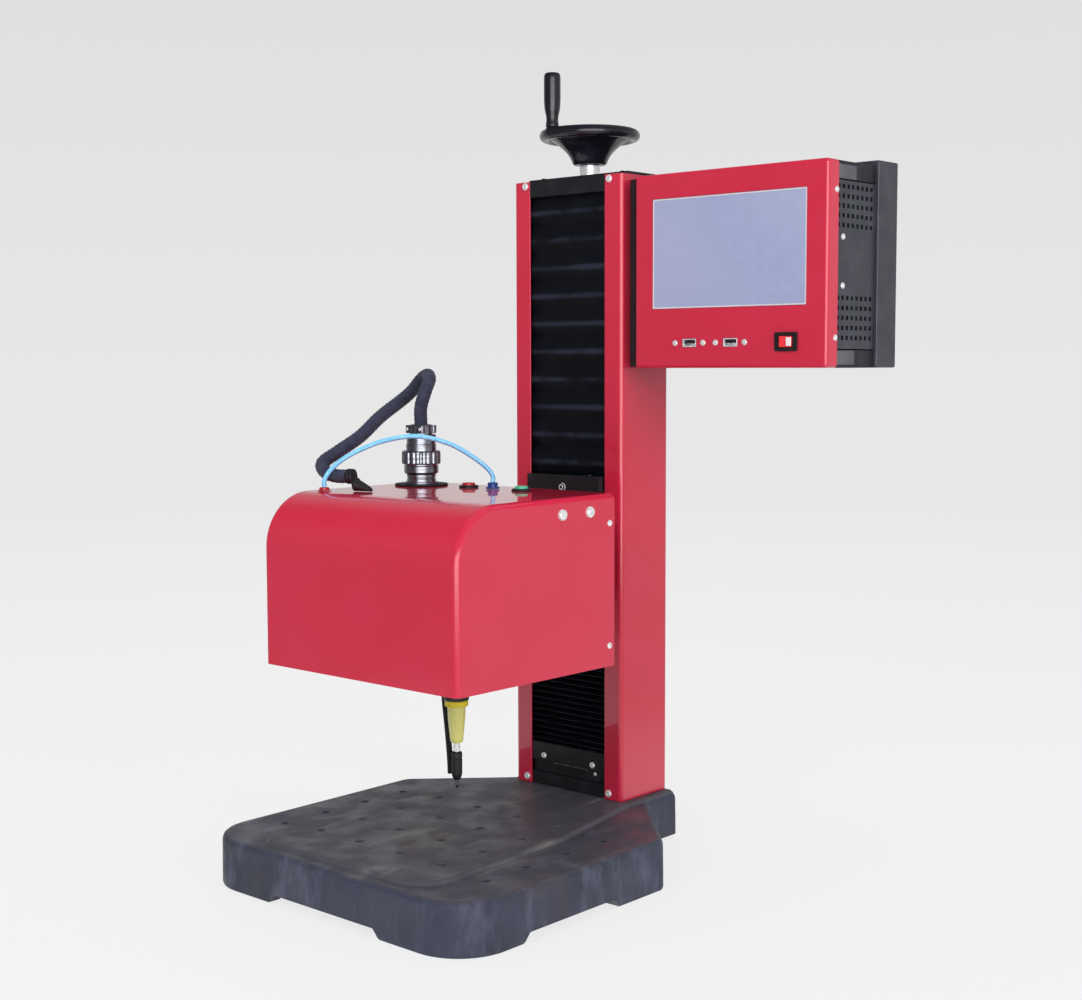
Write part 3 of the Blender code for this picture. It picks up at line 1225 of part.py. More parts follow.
def cable_gland():
    """Gland lying on the hood, which takes the cable back inside."""
    end = Vector(CABLE_ROUTE[-1]) * MM
    before = Vector(CABLE_ROUTE[-2]) * MM
    along = Vector((end.x - before.x, end.y - before.y, 0)).normalized()
    length = 22 * MM
    low, high = HOOD_TOP + GAP, end.z + CABLE_RADIUS + MM
    work = bmesh.new()
    bmesh.ops.create_cube(work, size=1)
    bmesh.ops.scale(work, vec=(length, 2 * CABLE_RADIUS + 2 * MM, high - low),
                    verts=work.verts)
    angle = math.atan2(along.y, along.x)
    bmesh.ops.rotate(work, cent=(0, 0, 0), matrix=Matrix.Rotation(angle, 3, "Z"),
                     verts=work.verts)
    start = end + along * (length / 2 + 2 * GAP)
    bmesh.ops.translate(work, vec=(start.x, start.y, (low + high) / 2), verts=work.verts)
    gland = add("cable_gland", to_mesh("cable_gland", work), RUBBER, HEAD)
    soften(gland, 2 * MM, 2)


def air_fittings():
    """Port of the air tube at the front and its fitting in the row of buttons."""
    for name, route_end, material in (("air_port", TUBE_ROUTE[0], RED_CAP),
                                      ("air_fitting", TUBE_ROUTE[-1], BLUE)):
        x, y, z = route_end
        top = z * MM - GAP
        base = HOOD_TOP + GAP
        profile = [(0, top), (3.6 * MM, top), (4.4 * MM, top - MM),
                   (4.4 * MM, base + 0.8 * MM), (6 * MM, base + 0.8 * MM), (6 * MM, base),
                   (0, base)]
        add(name, turned_mesh(name, profile, (x * MM, y * MM), 20), material, HEAD)


def push_buttons():
    """Two housings through the hood, and the cap that travels in each."""
    base = HOOD_TOP + GAP
    top = base + BEZEL_HEIGHT
    bottom = HOOD_TOP - BUTTON_BODY_LENGTH
    well = BUTTON_RADIUS + RUNNING
    floor = base - BUTTON_TRAVEL - MM
    high = base + BUTTON_HEIGHT
    low = floor + BUTTON_TRAVEL + GAP
    bezel = [(well, top), (BEZEL_RADIUS, top - 0.5 * MM), (BEZEL_RADIUS, base),
             (BUTTON_BODY_RADIUS, base), (BUTTON_BODY_RADIUS, bottom), (0, bottom),
             (0, floor), (well, floor)]
    cap = [(0, high), (BUTTON_RADIUS - MM, high), (BUTTON_RADIUS, high - 0.8 * MM),
           (BUTTON_RADIUS, low), (0, low)]
    for name, x, material, parent in (("red_button", RED_BUTTON_X, RED_CAP, RED_PUSH),
                                      ("green_button", GREEN_BUTTON_X, GREEN_CAP, GREEN_PUSH)):
        at = (x, FITTINGS_ROW)
        housing = turned_mesh(name + "_housing", bezel, at, 24, closed=True)
        add(name + "_housing", housing, BLACK, HEAD)
        add(name, turned_mesh(name, cap, at, 24), material, parent)


def cords():
    add("signal_cable", tube_mesh("signal_cable", CABLE_ROUTE, CABLE_RADIUS, 30, 3), RUBBER,
        HEAD)
    add("air_tube", tube_mesh("air_tube", TUBE_ROUTE, TUBE_RADIUS, 28, 2), BLUE, HEAD)
    add("stylus_hose", tube_mesh("stylus_hose", HOSE_ROUTE, HOSE_RADIUS, 16, 2), RUBBER,
        X_STAGE)


# Controller

def pan_mesh(name, front, depth, sheet):
    """Shallow pan of sheet metal, open behind."""
    outer = box_mesh(name, (PANEL_LEFT, PANEL_RIGHT), from_to(front, depth),
                     (PANEL_BOTTOM, PANEL_TOP))
    inner = box_mesh(name, (PANEL_LEFT + sheet, PANEL_RIGHT - sheet),
                     (front + sheet, front + depth + sheet),
                     (PANEL_BOTTOM + sheet, PANEL_TOP - sheet))
    return outer, inner


def front_pan():
    outer, inner = pan_mesh("controller_front", PANEL_FRONT, PANEL_LIP, PANEL_SHEET)
    pan = add("controller_front", outer, RED, FRAME)
    cut(pan, inner)
    left = PANEL_LEFT + SCREEN_LEFT
    low = PANEL_BOTTOM + SCREEN_RISE
    through = (PANEL_FRONT - PANEL_SHEET, PANEL_FRONT + 2 * PANEL_SHEET)
    cut(pan, box_mesh("window", (left - GAP, left + SCREEN_WIDTH + GAP), through,
                      (low - GAP, low + SCREEN_HEIGHT + GAP)))
    add("touch_screen", box_mesh(
        "touch_screen", from_to(left, SCREEN_WIDTH),
        from_to(PANEL_FRONT + 0.4 * MM, SCREEN_DEPTH), from_to(low, SCREEN_HEIGHT)),
        SCREEN, FRAME)
    back = PANEL_FRONT + PORT_DEPTH - 2 * MM
    ports = add("usb_ports", box_mesh(
        "port_board", (PANEL_LEFT + PORT_PLACES[0] - PORT_WIDTH,
                       PANEL_LEFT + PORT_PLACES[1] + PORT_WIDTH),
        from_to(back, 1.6 * MM), around(PORT_Z, 2 * PORT_HEIGHT)), STEEL, FRAME)
    for place in PORT_PLACES:
        x = PANEL_LEFT + place
        cut(pan, box_mesh("port_hole", around(x, PORT_WIDTH + 2 * GAP), through,
                          around(PORT_Z, PORT_HEIGHT + 2 * GAP)))
        shell = box_mesh("port", around(x, PORT_WIDTH), (PANEL_FRONT + GAP, back + MM),
                         around(PORT_Z, PORT_HEIGHT))
        mouth = box_mesh("mouth", around(x, PORT_WIDTH - 2 * MM),
                         from_to(PANEL_FRONT - MM, PORT_DEPTH - 4 * MM),
                         around(PORT_Z, PORT_HEIGHT - 2 * MM))
        join(ports, difference("port", shell, mouth))
    rocker_switch(pan, through)


def rocker_switch(pan, through):
    cut(pan, box_mesh("switch_hole", around(ROCKER_X, ROCKER_FRAME_WIDTH - 2 * MM), through,
                      around(PORT_Z, ROCKER_FRAME_HEIGHT - 2 * MM)))
    flange = box_mesh("switch_flange", around(ROCKER_X, ROCKER_FRAME_WIDTH),
                      (PANEL_FRONT - GAP - 1.5 * MM, PANEL_FRONT - GAP),
                      around(PORT_Z, ROCKER_FRAME_HEIGHT))
    can = box_mesh("switch_can", around(ROCKER_X, ROCKER_FRAME_WIDTH - 3 * MM),
                   (PANEL_FRONT - GAP - MM, PANEL_FRONT + 14 * MM),
                   around(PORT_Z, ROCKER_FRAME_HEIGHT - 3 * MM))
    well = box_mesh("switch_well", around(ROCKER_X, ROCKER_WIDTH + 2 * RUNNING),
                    (PANEL_FRONT - 5 * MM, PANEL_FRONT + ROCKER_DEPTH + MM),
                    around(PORT_Z, ROCKER_HEIGHT + 2 * RUNNING))
    add("switch_frame", difference("switch_frame", welded("switch_frame", flange, can), well),
        BLACK, FRAME)
    half = ROCKER_WIDTH / 2 - 0.3 * MM
    outline = rounded([(-half, 0, 0), (-half * 0.8, -2.6 * MM, MM), (0, -1.6 * MM, 0),
                       (half * 0.8, -2.6 * MM, MM), (half, 0, 0),
                       (half * 0.55, ROCKER_DEPTH - MM, 0), (-half * 0.55, ROCKER_DEPTH - MM, 0)],
                      steps=2)
    mesh = slab_mesh("power_rocker", outline, -ROCKER_HEIGHT / 2, ROCKER_HEIGHT / 2)
    mesh.transform(Matrix.Translation((ROCKER_X, ROCKER_Y, PORT_Z))
                   @ Matrix.Rotation(ROCKER_TILT, 4, "Z"))
    add("power_rocker", mesh, RED_CAP, ROCKER)


def chassis():
    left, right = PANEL_LEFT + CHASSIS_INSET, PANEL_RIGHT - CHASSIS_INSET
    low, high = PANEL_BOTTOM + CHASSIS_INSET_TOP, PANEL_TOP - CHASSIS_INSET_TOP
    rear = CHASSIS_FRONT + CHASSIS_DEPTH
    shell = add("controller_chassis", box_mesh("chassis", (left, right),
                                               (CHASSIS_FRONT, rear), (low, high)),
                BLACK, FRAME)
    wall = CHASSIS_SHEET
    cut(shell, box_mesh("chassis_inside", (left + wall, right - wall),
                        (CHASSIS_FRONT - wall, rear - wall), (low + wall, high - wall)))
    back = REAR_PAN_FRONT + REAR_PAN_DEPTH
    sheet = PANEL_SHEET
    pan_top = PANEL_TOP + REAR_PAN_RISE
    pan = add("controller_rear", box_mesh("rear_pan", (PANEL_LEFT, PANEL_RIGHT),
                                          (REAR_PAN_FRONT, back), (PANEL_BOTTOM, pan_top)),
              BLACK, FRAME)
    cut(pan,
        box_mesh("pan_inside", (PANEL_LEFT + sheet, PANEL_RIGHT - sheet),
                 (REAR_PAN_FRONT + sheet, back - sheet),
                 (PANEL_BOTTOM + sheet, pan_top - sheet)),
        box_mesh("pan_mouth", (left + CHASSIS_INSET_TOP, right - CHASSIS_INSET_TOP),
                 (REAR_PAN_FRONT - sheet, REAR_PAN_FRONT + 2 * sheet),
                 (low + CHASSIS_INSET_TOP, high - CHASSIS_INSET_TOP)))
    tall = CHASSIS_INSET_TOP - PANEL_SHEET - GAP
    for x in (left, right - SPACER_WIDTH):
        for z in (PANEL_BOTTOM + PANEL_SHEET + GAP, high - MM):
            join(shell, box_mesh("spacer", from_to(x, SPACER_WIDTH),
                                 (CHASSIS_FRONT - 6 * MM, CHASSIS_FRONT + SPACER_DEPTH),
                                 (z, z + tall + MM - GAP)))
    rail_front = CHASSIS_FRONT + SPACER_DEPTH - MM
    for z in ((PANEL_BOTTOM, low + MM), (high - MM, PANEL_TOP)):
        join(shell, box_mesh("edge_rail", (left, right), (rail_front, rear), z))
    for z in ((PANEL_BOTTOM, PANEL_BOTTOM + EDGE_PLATE), (PANEL_TOP - EDGE_PLATE, PANEL_TOP)):
        join(shell, box_mesh("edge_plate", (left, right), (CHASSIS_FRONT, rail_front + MM), z))
    inside = rear - wall - GAP
    add("control_board", box_mesh("control_board", (left + wall + 12 * MM,
                                                    right - wall - 12 * MM),
                                  (inside - BOARD_DEPTH, inside),
                                  (low + wall + 12 * MM, high - wall - 12 * MM)), BOARD, FRAME)


def controller_bracket():
    """Angle from the column's side to the controller's left side."""
    near = COLUMN_SIDE + GAP
    plate_low = PANEL_BOTTOM + CHASSIS_INSET_TOP + 12 * MM
    plate_high = plate_low + STANDOFF_HEIGHT
    left = PANEL_LEFT + CHASSIS_INSET - GAP
    rear = COLUMN_REAR - 6 * MM
    outline = rounded([(near, CHASSIS_FRONT + 4 * MM, 0), (near, rear, 0),
                       (left, rear, 0), (left, rear - 38 * MM, 0),
                       (left - 4 * MM, rear - 38 * MM, 0), (left - 4 * MM, rear - 4 * MM, 0),
                       (near + 4 * MM, rear - 4 * MM, 0),
                       (near + 4 * MM, CHASSIS_FRONT + 4 * MM, 0)])
    add("controller_bracket", slab_mesh("controller_bracket", outline, plate_low, plate_high),
        BLACK, FRAME)


# Heads of the screws

def fasteners():
    part = PART.objects
    edge = COLUMN_SIDE - FLANGE_SCREW_INSET
    flange = [((side * edge, COLUMN_FRONT, z), "Y", -1) for side in (-1, 1)
              for z in (FOOT_BLOCK_HEIGHT / 2, COLUMN_HEIGHT - FLANGE_SCREW_END)]
    screw_heads(part["column_cover"], flange, M4)
    inset = CAP_SCREW_INSET
    cap = [((side * (COLUMN_SIDE - inset), y, CAP_TOP), "Z", 1) for side in (-1, 1)
           for y in (COLUMN_FRONT + inset, COLUMN_REAR - inset)]
    screw_heads(part["top_cap"], cap, M3)
    foot_front = COLUMN_FRONT + MM
    foot_x = SLOT_SIDE - FOOT_SCREW_INSET
    foot_z = FOOT_PLATE_TOP - FOOT_SCREW_BELOW
    foot = [((side * foot_x, foot_front, foot_z), "Y", -1) for side in (-1, 1)]
    screw_heads(part["foot_plate"], foot, M3)
    strip = [((0, COLUMN_FRONT - HEAD_PLATE, HEAD_TOP - STRIP_SCREW_BELOW), "Y", -1)]
    screw_heads(part["head_bracket"], strip, M4)
    big = [((hand * HOOD_SIDE, HOOD_FRONT + y, HOOD_TOP - HOOD_SCREW_BELOW), "X", hand)
           for hand in (-1, 1) for y in HOOD_SCREWS_BEHIND]
    small = [((hand * HOOD_SIDE, HOOD_REAR - EDGE_SCREW_INSET, z), "X", hand)
             for hand in (-1, 1)
             for z in (HOOD_BOTTOM + EDGE_SCREW_ABOVE, HOOD_TOP - EDGE_SCREW_BELOW)]
    screw_heads(part["hood"], big, M5)
    screw_heads(part["hood"], small, M3)
    ports = [((PANEL_LEFT + place + hand * PORT_SCREW_SPACING / 2, PANEL_FRONT, PORT_Z),
              "Y", -1) for place in PORT_PLACES for hand in (-1, 1)]
    screw_heads(part["controller_front"], ports, PORT_SCREW)
    lip = [((PANEL_RIGHT, PANEL_FRONT + PANEL_LIP - LIP_SCREW_INSET, z), "X", 1)
           for z in (PANEL_BOTTOM + LIP_SCREW_END, PANEL_TOP - LIP_SCREW_END)]
    screw_heads(part["controller_front"], lip, M3)
    side = [((PANEL_RIGHT - CHASSIS_INSET, CHASSIS_FRONT + CHASSIS_SCREW_BEHIND,
              PANEL_BOTTOM + above), "X", 1) for above in CHASSIS_SCREWS_ABOVE]
    screw_heads(part["controller_chassis"], side, M3)


base_casting()
column_cover()
column_channel()
column_ends()
rails()
bellows("upper_bellows", HEAD_TOP + GAP, CAP_BOTTOM - GAP, UPPER_PLEATS)
bellows("lower_bellows", FOOT_PLATE_TOP + GAP, HEAD_BOTTOM - GAP, LOWER_PLEATS)
lift_screw()
handwheel()
revolving_grip()
head_bracket()
lift_carriage()
hood()
gantry()
y_stage()
x_stage()
connector()
cable_gland()
air_fittings()
push_buttons()
cords()
front_pan()
chassis()
controller_bracket()
fasteners()
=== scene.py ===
"""Looks of the bench nameplate marking machine: camera, light, materials and detailed pieces."""
import random
from itertools import product
from math import asin, atan2, cos, pi, radians, sin, sqrt, tan

import bmesh
import bpy
from mathutils import Matrix, Vector
from mathutils.geometry import interpolate_bezier

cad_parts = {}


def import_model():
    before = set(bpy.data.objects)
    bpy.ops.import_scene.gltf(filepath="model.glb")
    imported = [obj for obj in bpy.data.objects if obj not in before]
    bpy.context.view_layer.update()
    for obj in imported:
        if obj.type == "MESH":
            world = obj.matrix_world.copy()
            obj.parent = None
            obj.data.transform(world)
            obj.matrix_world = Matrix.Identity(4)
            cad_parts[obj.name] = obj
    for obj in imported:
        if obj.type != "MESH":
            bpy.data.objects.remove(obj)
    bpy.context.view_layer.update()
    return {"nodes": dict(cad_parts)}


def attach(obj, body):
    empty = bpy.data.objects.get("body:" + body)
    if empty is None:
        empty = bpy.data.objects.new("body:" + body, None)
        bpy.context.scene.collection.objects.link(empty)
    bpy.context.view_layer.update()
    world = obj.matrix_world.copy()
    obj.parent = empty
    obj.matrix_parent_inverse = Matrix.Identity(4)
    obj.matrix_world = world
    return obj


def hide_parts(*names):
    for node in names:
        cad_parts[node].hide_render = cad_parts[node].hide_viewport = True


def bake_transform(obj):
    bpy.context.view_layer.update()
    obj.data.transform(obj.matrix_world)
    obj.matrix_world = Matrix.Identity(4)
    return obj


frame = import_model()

MM = 0.001
NODES = frame["nodes"]
SCENE = bpy.context.scene
random.seed(7)

# Sizes that the CAD also has, in millimetres
FLOOR_Z = -45.5
COLUMN_FRONT, COLUMN_REAR, COLUMN_SIDE, COLUMN_TOP = 142, 208.4, 63, 550
SLOT_SIDE, STRIP_SIDE = 43.6, 43.3
SCREW_AT = (0, 174)
GRIP_AT = (-10.69, 135.46)
HOOD_SIDE, HOOD_FRONT, HOOD_REAR = 112.5, -112.2, 71.6
HOOD_BOTTOM, HOOD_TOP, HOOD_BEND, HOOD_CORNER = 139, 281.1, 45, 6
SEAT = HOOD_TOP + 0.3
PANEL_X, PANEL_Z, PANEL_LIP = (77.3, 268.5), (383, 545.8), 15.2
SCREEN_X, SCREEN_Z = (96.5, 248.9), (433, 524.5)
CHASSIS_X, CHASSIS_Y, CHASSIS_Z = (80.8, 265), (157.5, 217.9), (397, 531.8)
REAR_PAN, REAR_PAN_TOP = (218.2, 248.7), 550.4
PORT_Z = 404
PORT_X = (135, 176.5)
ROCKER_X = 231.3
CONNECTOR = (-75, 34)
BUTTONS = [("red_button", (-25, 42), "red_plastic"), ("green_button", (36.5, 42), "green_plastic")]

CABLE_ROUTE = [
    (-75, 34, 334.8), (-75, 34, 349), (-72.3, 36.6, 362.5), (-75.6, 45.3, 374.1),
    (-94.5, 56.8, 375.6), (-104.3, 48.9, 361.2), (-104.8, 13.1, 340.8), (-105.5, -9.1, 325),
    (-107.5, -35, 311.5), (-107, -51.5, 302.9), (-94, -58.2, 296), (-83, -56, 293.6),
    (-74, -52.7, 293.6)]
TUBE_ROUTE = [
    (-87, -67, 284.9), (-87, -67, 290), (-84, -63.4, 298.1), (-77.5, -55.6, 307.2),
    (-67.9, -44, 315.4), (-54.5, -27.9, 323.1), (-37.3, -7.3, 326.5), (-20.1, 13.4, 320),
    (-7.6, 28.4, 309), (0.8, 38.6, 298.5), (3.5, 42, 292), (3.5, 42, 287.2)]
HOSE_ROUTE = [
    (-15.4, -1, 196.5), (-15.3, -1, 182), (-15, -1, 160), (-14.4, -0.9, 135),
    (-13.9, -0.8, 115), (-13.3, -0.6, 103), (-11.8, -0.4, 90), (-10.2, -0.2, 76),
    (-8.9, 0, 62), (-7.9, 0, 50), (-7.6, 0, 42)]

# Camera: its place in metres, its angles in degrees, lens and sensor in millimetres
EYE = (0.9578, -0.9638, 0.3865)
YAW, PITCH, ROLL = 41.805, 4.736, -0.153
LENS, SENSOR = 54.49, 36


def added(name, data):
    """Object of the data, in the scene."""
    made = bpy.data.objects.new(name, data)
    SCENE.collection.objects.link(made)
    return made


def camera():
    yaw, pitch, roll = (radians(v) for v in (YAW, PITCH, ROLL))
    ahead = Vector((-sin(yaw) * cos(pitch), cos(yaw) * cos(pitch),
                    -sin(pitch)))
    level = Vector((cos(yaw), sin(yaw), 0))
    upward = level.cross(ahead)
    right = level * cos(roll) + upward * sin(roll)
    up = upward * cos(roll) - level * sin(roll)
    data = bpy.data.cameras.new("camera")
    data.lens = LENS
    data.sensor_width = SENSOR
    data.sensor_fit = "HORIZONTAL"
    eye = added("camera", data)
    turn = Matrix((right, up, -ahead)).transposed().to_4x4()
    eye.matrix_world = Matrix.Translation(EYE) @ turn
    SCENE.camera = eye
    SCENE.view_settings.view_transform = "Standard"


# Nodes and materials

WHITE = (1, 1, 1, 1)
FINISH = {}  # each material by the name of its finish


class Nodes:
    """A node tree, with short ways to add to it."""

    def __init__(self, tree, place):
        self.tree = tree
        self.place = self.node("TexCoord")[place]

    def fill(self, socket, value):
        """Links a socket, or sets its number or vector."""
        if isinstance(value, bpy.types.NodeSocket):
            self.tree.links.new(value, socket)
        else:
            socket.default_value = value

    def node(self, kind, *values, **named):
        """Outputs of a new node. A name with a capital is an input, any other a setting."""
        made = self.tree.nodes.new("ShaderNode" + kind)
        for name, value in named.items():
            if name[0].isupper():
                self.fill(made.inputs[name], value)
            else:
                setattr(made, name, value)
        for socket, value in zip(made.inputs, values):
            self.fill(socket, value)
        return made.outputs

    def mix(self, share, first, second, kind="FLOAT"):
        """Blend of two numbers, or with RGBA of two colours."""
        made = self.tree.nodes.new("ShaderNodeMix")
        made.data_type = kind
        start, result = {"FLOAT": (2, 0), "RGBA": (6, 2)}[kind]
        for index, value in ((0, share), (start, first), (start + 1, second)):
            self.fill(made.inputs[index], value)
        return made.outputs[result]

    def maths(self, operation, a, b):
        return self.node("Math", a, b, operation=operation)["Value"]

    def span(self, value, start, end, low=0.0, high=1.0):
        """Smooth change from low to high while the value goes from start to end."""
        return self.node("MapRange", value, start, end, low, high,
                         interpolation_type="SMOOTHSTEP")["Result"]

    def along(self, axis):
        return self.node("SeparateXYZ", self.place)["XYZ".index(axis)]

    def show(self, output, *blend):
        """Sends a blend of two shaders to the output."""
        surface = self.tree.nodes[output].inputs["Surface"]
        self.fill(surface, self.node("MixShader", *blend)["Shader"])


class Surface(Nodes):
    """A finish whose colour, roughness and relief are built up in layers."""

    def __init__(self, name, colour, roughness, metallic=0.0, **sockets):
        self.material = FINISH[name] = bpy.data.materials.new(name)
        self.material.use_nodes = True
        super().__init__(self.material.node_tree, "Object")
        self.shader = self.tree.nodes["Principled BSDF"]
        sockets |= {"Base_Color": (*colour, 1), "Roughness": roughness, "Metallic": metallic}
        for socket, value in sockets.items():
            self.shader.inputs[socket.replace("_", " ")].default_value = value

    def stretched(self, stretch, turn=(0, 0, 0)):
        return self.node("Mapping", Vector=self.place, Scale=stretch, Rotation=turn)["Vector"]

    def noise(self, scale, detail, stretch=None, turn=(0, 0, 0), rough=0.5):
        place = self.stretched(stretch, turn) if stretch else self.place
        return self.node("TexNoise", Vector=place, Scale=scale, Detail=detail,
                         Roughness=rough)["Fac"]

    def cells(self, scale):
        return self.node("TexVoronoi", Vector=self.place, Scale=scale)["Distance"]

    def waves(self, scale, direction="X", distortion=0.0, place=None):
        return self.node("TexWave", bands_direction=direction, Vector=place or self.place,
                         Scale=scale, Distortion=distortion)["Fac"]

    def patches(self, scale, detail, start, end, **how):
        """Mask of soft patches, where a noise goes from start to end."""
        return self.span(self.noise(scale, detail, **how), start, end)

    def tint(self, colour, mask, strength):
        """Lays a colour over the present one where the mask is high."""
        target = self.shader.inputs["Base Color"]
        before = target.links[0].from_socket if target.is_linked else target.default_value
        share = self.maths("MULTIPLY", mask, strength)
        self.fill(target, self.mix(share, before, (*colour, 1), "RGBA"))

    def roughen(self, scale, detail, low, high, start=0.35, end=0.65, stretch=None):
        mask = self.noise(scale, detail, stretch)
        self.fill(self.shader.inputs["Roughness"], self.span(mask, start, end, low, high))

    def relief(self, height, distance, strength):
        """Adds a layer of bumps of a real height in metres."""
        target = self.shader.inputs["Normal"]
        under = {"Normal": target.links[0].from_socket} if target.is_linked else {}
        bump = self.node("Bump", Strength=strength, Distance=distance, Height=height, **under)
        self.fill(target, bump["Normal"])


def red_paint():
    """Crimson gloss enamel with a faint orange peel and soft patches of tone."""
    s = Surface("red_paint", (0.57, 0.013, 0.047), 0.3, Coat_Weight=1.0, Coat_Roughness=0.035,
                Specular_IOR_Level=0.4)
    s.tint((0.53, 0.010, 0.038), s.patches(6, 1, 0.1, 0.9), 0.5)
    s.tint((0.60, 0.024, 0.072), s.patches(17, 1, 0.1, 0.9), 0.4)
    s.roughen(9, 1, 0.28, 0.34, 0.1, 0.9)
    s.relief(s.noise(150, 1), 0.00003, 0.3)


def dark_paint(name, colour, light, grain, roughness=(0.36, 0.5), **sockets):
    """Powder coat or moulded plastic: a fine grain with dust in places."""
    s = Surface(name, colour, roughness[0], Specular_IOR_Level=0.5, **sockets)
    s.tint(light, s.patches(grain / 14, 5, 0.45, 0.8), 0.5)
    s.tint(light, s.patches(grain, 2, 0.6, 0.8), 0.35)
    s.roughen(grain / 10, 3, *roughness)
    s.relief(s.noise(grain, 3), 0.00008, 0.8)


def gloss_plastic(name, colour, light):
    """Polished bakelite or moulded plastic with handling marks."""
    s = Surface(name, colour, 0.2, Coat_Weight=0.3, Coat_Roughness=0.05)
    s.tint(light, s.patches(60, 5, 0.5, 0.8), 0.5)
    s.roughen(90, 4, 0.16, 0.3)
    s.relief(s.noise(220, 3), 0.00005, 0.4)


def metal(name, colour, dark, roughness, stretch, scale=90, metallic=1.0):
    """Drawn, turned or milled metal with its marks along one direction."""
    s = Surface(name, colour, roughness[0], metallic)
    s.tint(dark, s.patches(scale, 4, 0.4, 0.7, stretch=stretch), 0.5)
    s.tint(dark, s.patches(35, 4, 0.5, 0.8), 0.4)
    s.roughen(scale, 3, *roughness, stretch=stretch)
    s.relief(s.noise(scale * 3, 3, stretch), 0.00003, 0.5)


def cast_iron():
    """Painted casting: mottled dark grey, rubbed lighter on the table."""
    s = Surface("iron_paint", (0.040, 0.045, 0.074), 0.5, Specular_IOR_Level=0.35)
    s.tint((0.026, 0.029, 0.046), s.patches(11, 6, 0.42, 0.62, rough=0.62), 0.75)
    mottle = s.patches(23, 7, 0.5, 0.68, stretch=(1, 1, 0.35), rough=0.66)
    s.tint((0.10, 0.11, 0.165), mottle, 0.65)
    upper = s.span(s.along("Z"), -0.006, -0.001)
    s.tint((0.082, 0.078, 0.086), upper, 0.7)
    # Brownish patches at random: a painted reflection of the red hood on the casting.
    s.tint((0.085, 0.062, 0.050), s.patches(8, 4, 0.55, 0.75), 0.45)
    worn = s.patches(26, 7, 0.53, 0.70, stretch=(1.0, 0.28, 1), turn=(0, 0, 0.7), rough=0.7)
    s.tint((0.20, 0.195, 0.185), s.maths("MULTIPLY", upper, worn), 0.65)
    scratch = s.patches(120, 3, 0.66, 0.74, stretch=(1, 0.05, 1), turn=(0, 0, -0.9))
    s.tint((0.27, 0.27, 0.28), s.maths("MULTIPLY", upper, scratch), 0.35)
    s.tint((0.24, 0.25, 0.29), s.patches(300, 2, 0.70, 0.78), 0.2)
    s.roughen(30, 5, 0.36, 0.62)
    s.relief(s.noise(14, 3), 0.0016, 0.35)
    s.relief(s.noise(260, 5, rough=0.65), 0.0004, 0.6)


def pleated_cloth():
    """Coated cloth, near black, with a fine weave and a painted bluish highlight along its ridges.
    """
    s = Surface("pleated_cloth", (0.0035, 0.0045, 0.0075), 0.6, Specular_IOR_Level=0.15)
    s.tint((0.006, 0.008, 0.013), s.patches(30, 5, 0.45, 0.8), 0.6)
    # Front-most ridges of the pleats get a bluish tint in patches: a painted highlight.
    ridge_highlight = s.span(s.along("Y"), 0.1456, 0.1447)
    s.tint((0.021, 0.026, 0.044), s.maths("MULTIPLY", ridge_highlight, s.patches(45, 5, 0.25, 0.6)), 0.95)
    s.roughen(55, 4, 0.5, 0.7)
    s.relief(s.maths("MULTIPLY", s.waves(700, "X"), s.waves(700, "Z")), 0.0001, 0.5)
    s.relief(s.noise(60, 3), 0.0008, 0.4)


def screen_face():
    """Touch film over a display that is switched off: pale, with soft changes of tone, and painted
    shade towards its left edge.
    """
    s = Surface("screen_glass", (0.33, 0.375, 0.585), 0.3, Coat_Weight=1.0, Coat_Roughness=0.05,
                Specular_IOR_Level=0.5)
    # Darker towards the screen's left edge: painted shade across the screen.
    s.tint((0.25, 0.30, 0.50), s.span(s.along("X"), 0.22, 0.09), 0.4)
    s.tint((0.27, 0.31, 0.50), s.patches(150, 1, 0.2, 0.8), 0.4)
    s.tint((0.46, 0.47, 0.62), s.patches(7, 1, 0.2, 0.9), 0.5)
    s.roughen(12, 1, 0.28, 0.36, 0.1, 0.9)
    s.relief(s.noise(150, 1), 0.00001, 0.3)


def cable_sleeve(name, colour, light, turns, pitch):
    """Sleeve whose crossing strands follow the tube's own length and girth."""
    s = Surface(name, colour, 0.5, Specular_IOR_Level=0.5)
    s.place = s.node("UVMap", uv_map="tube")["UV"]
    weave = s.maths("MAXIMUM", *(s.waves(1.0, place=s.stretched((turns, pitch, 1), (0, 0, turn)))
                                 for turn in (0.72, -0.72)))
    s.tint(light, s.span(weave, 0.55, 1.0), 0.7)
    s.tint(light, s.patches(5, 5, 0.45, 0.75, stretch=(1, 60, 1)), 0.5)
    s.roughen(8, 4, 0.38, 0.6, stretch=(1, 30, 1))
    s.relief(weave, 0.00035, 0.8)


def clear_tube():
    """Blue polyurethane tube: glossy, a little see-through."""
    s = Surface("blue_tube", (0.20, 0.58, 0.92), 0.2, Coat_Weight=0.6, Coat_Roughness=0.06,
                Subsurface_Weight=0.35, Subsurface_Scale=0.002, Subsurface_Radius=(0.4, 0.8, 1.0))
    s.tint((0.34, 0.72, 0.97), s.patches(70, 4, 0.45, 0.75), 0.7)
    s.roughen(120, 3, 0.14, 0.3)
    s.relief(s.noise(260, 2), 0.00004, 0.5)


def circuit_board():
    """Green board with lighter tracks and pale joints."""
    s = Surface("circuit_board", (0.012, 0.11, 0.045), 0.35, Coat_Weight=0.4)
    s.tint((0.02, 0.17, 0.07), s.span(s.waves(120, "X", 3.0), 0.6, 0.8), 0.6)
    s.tint((0.35, 0.33, 0.25), s.span(s.cells(130), 0.0, 0.12, 1, 0), 0.8)
    s.roughen(60, 3, 0.25, 0.5)
    s.relief(s.cells(130), 0.0004, 0.5)


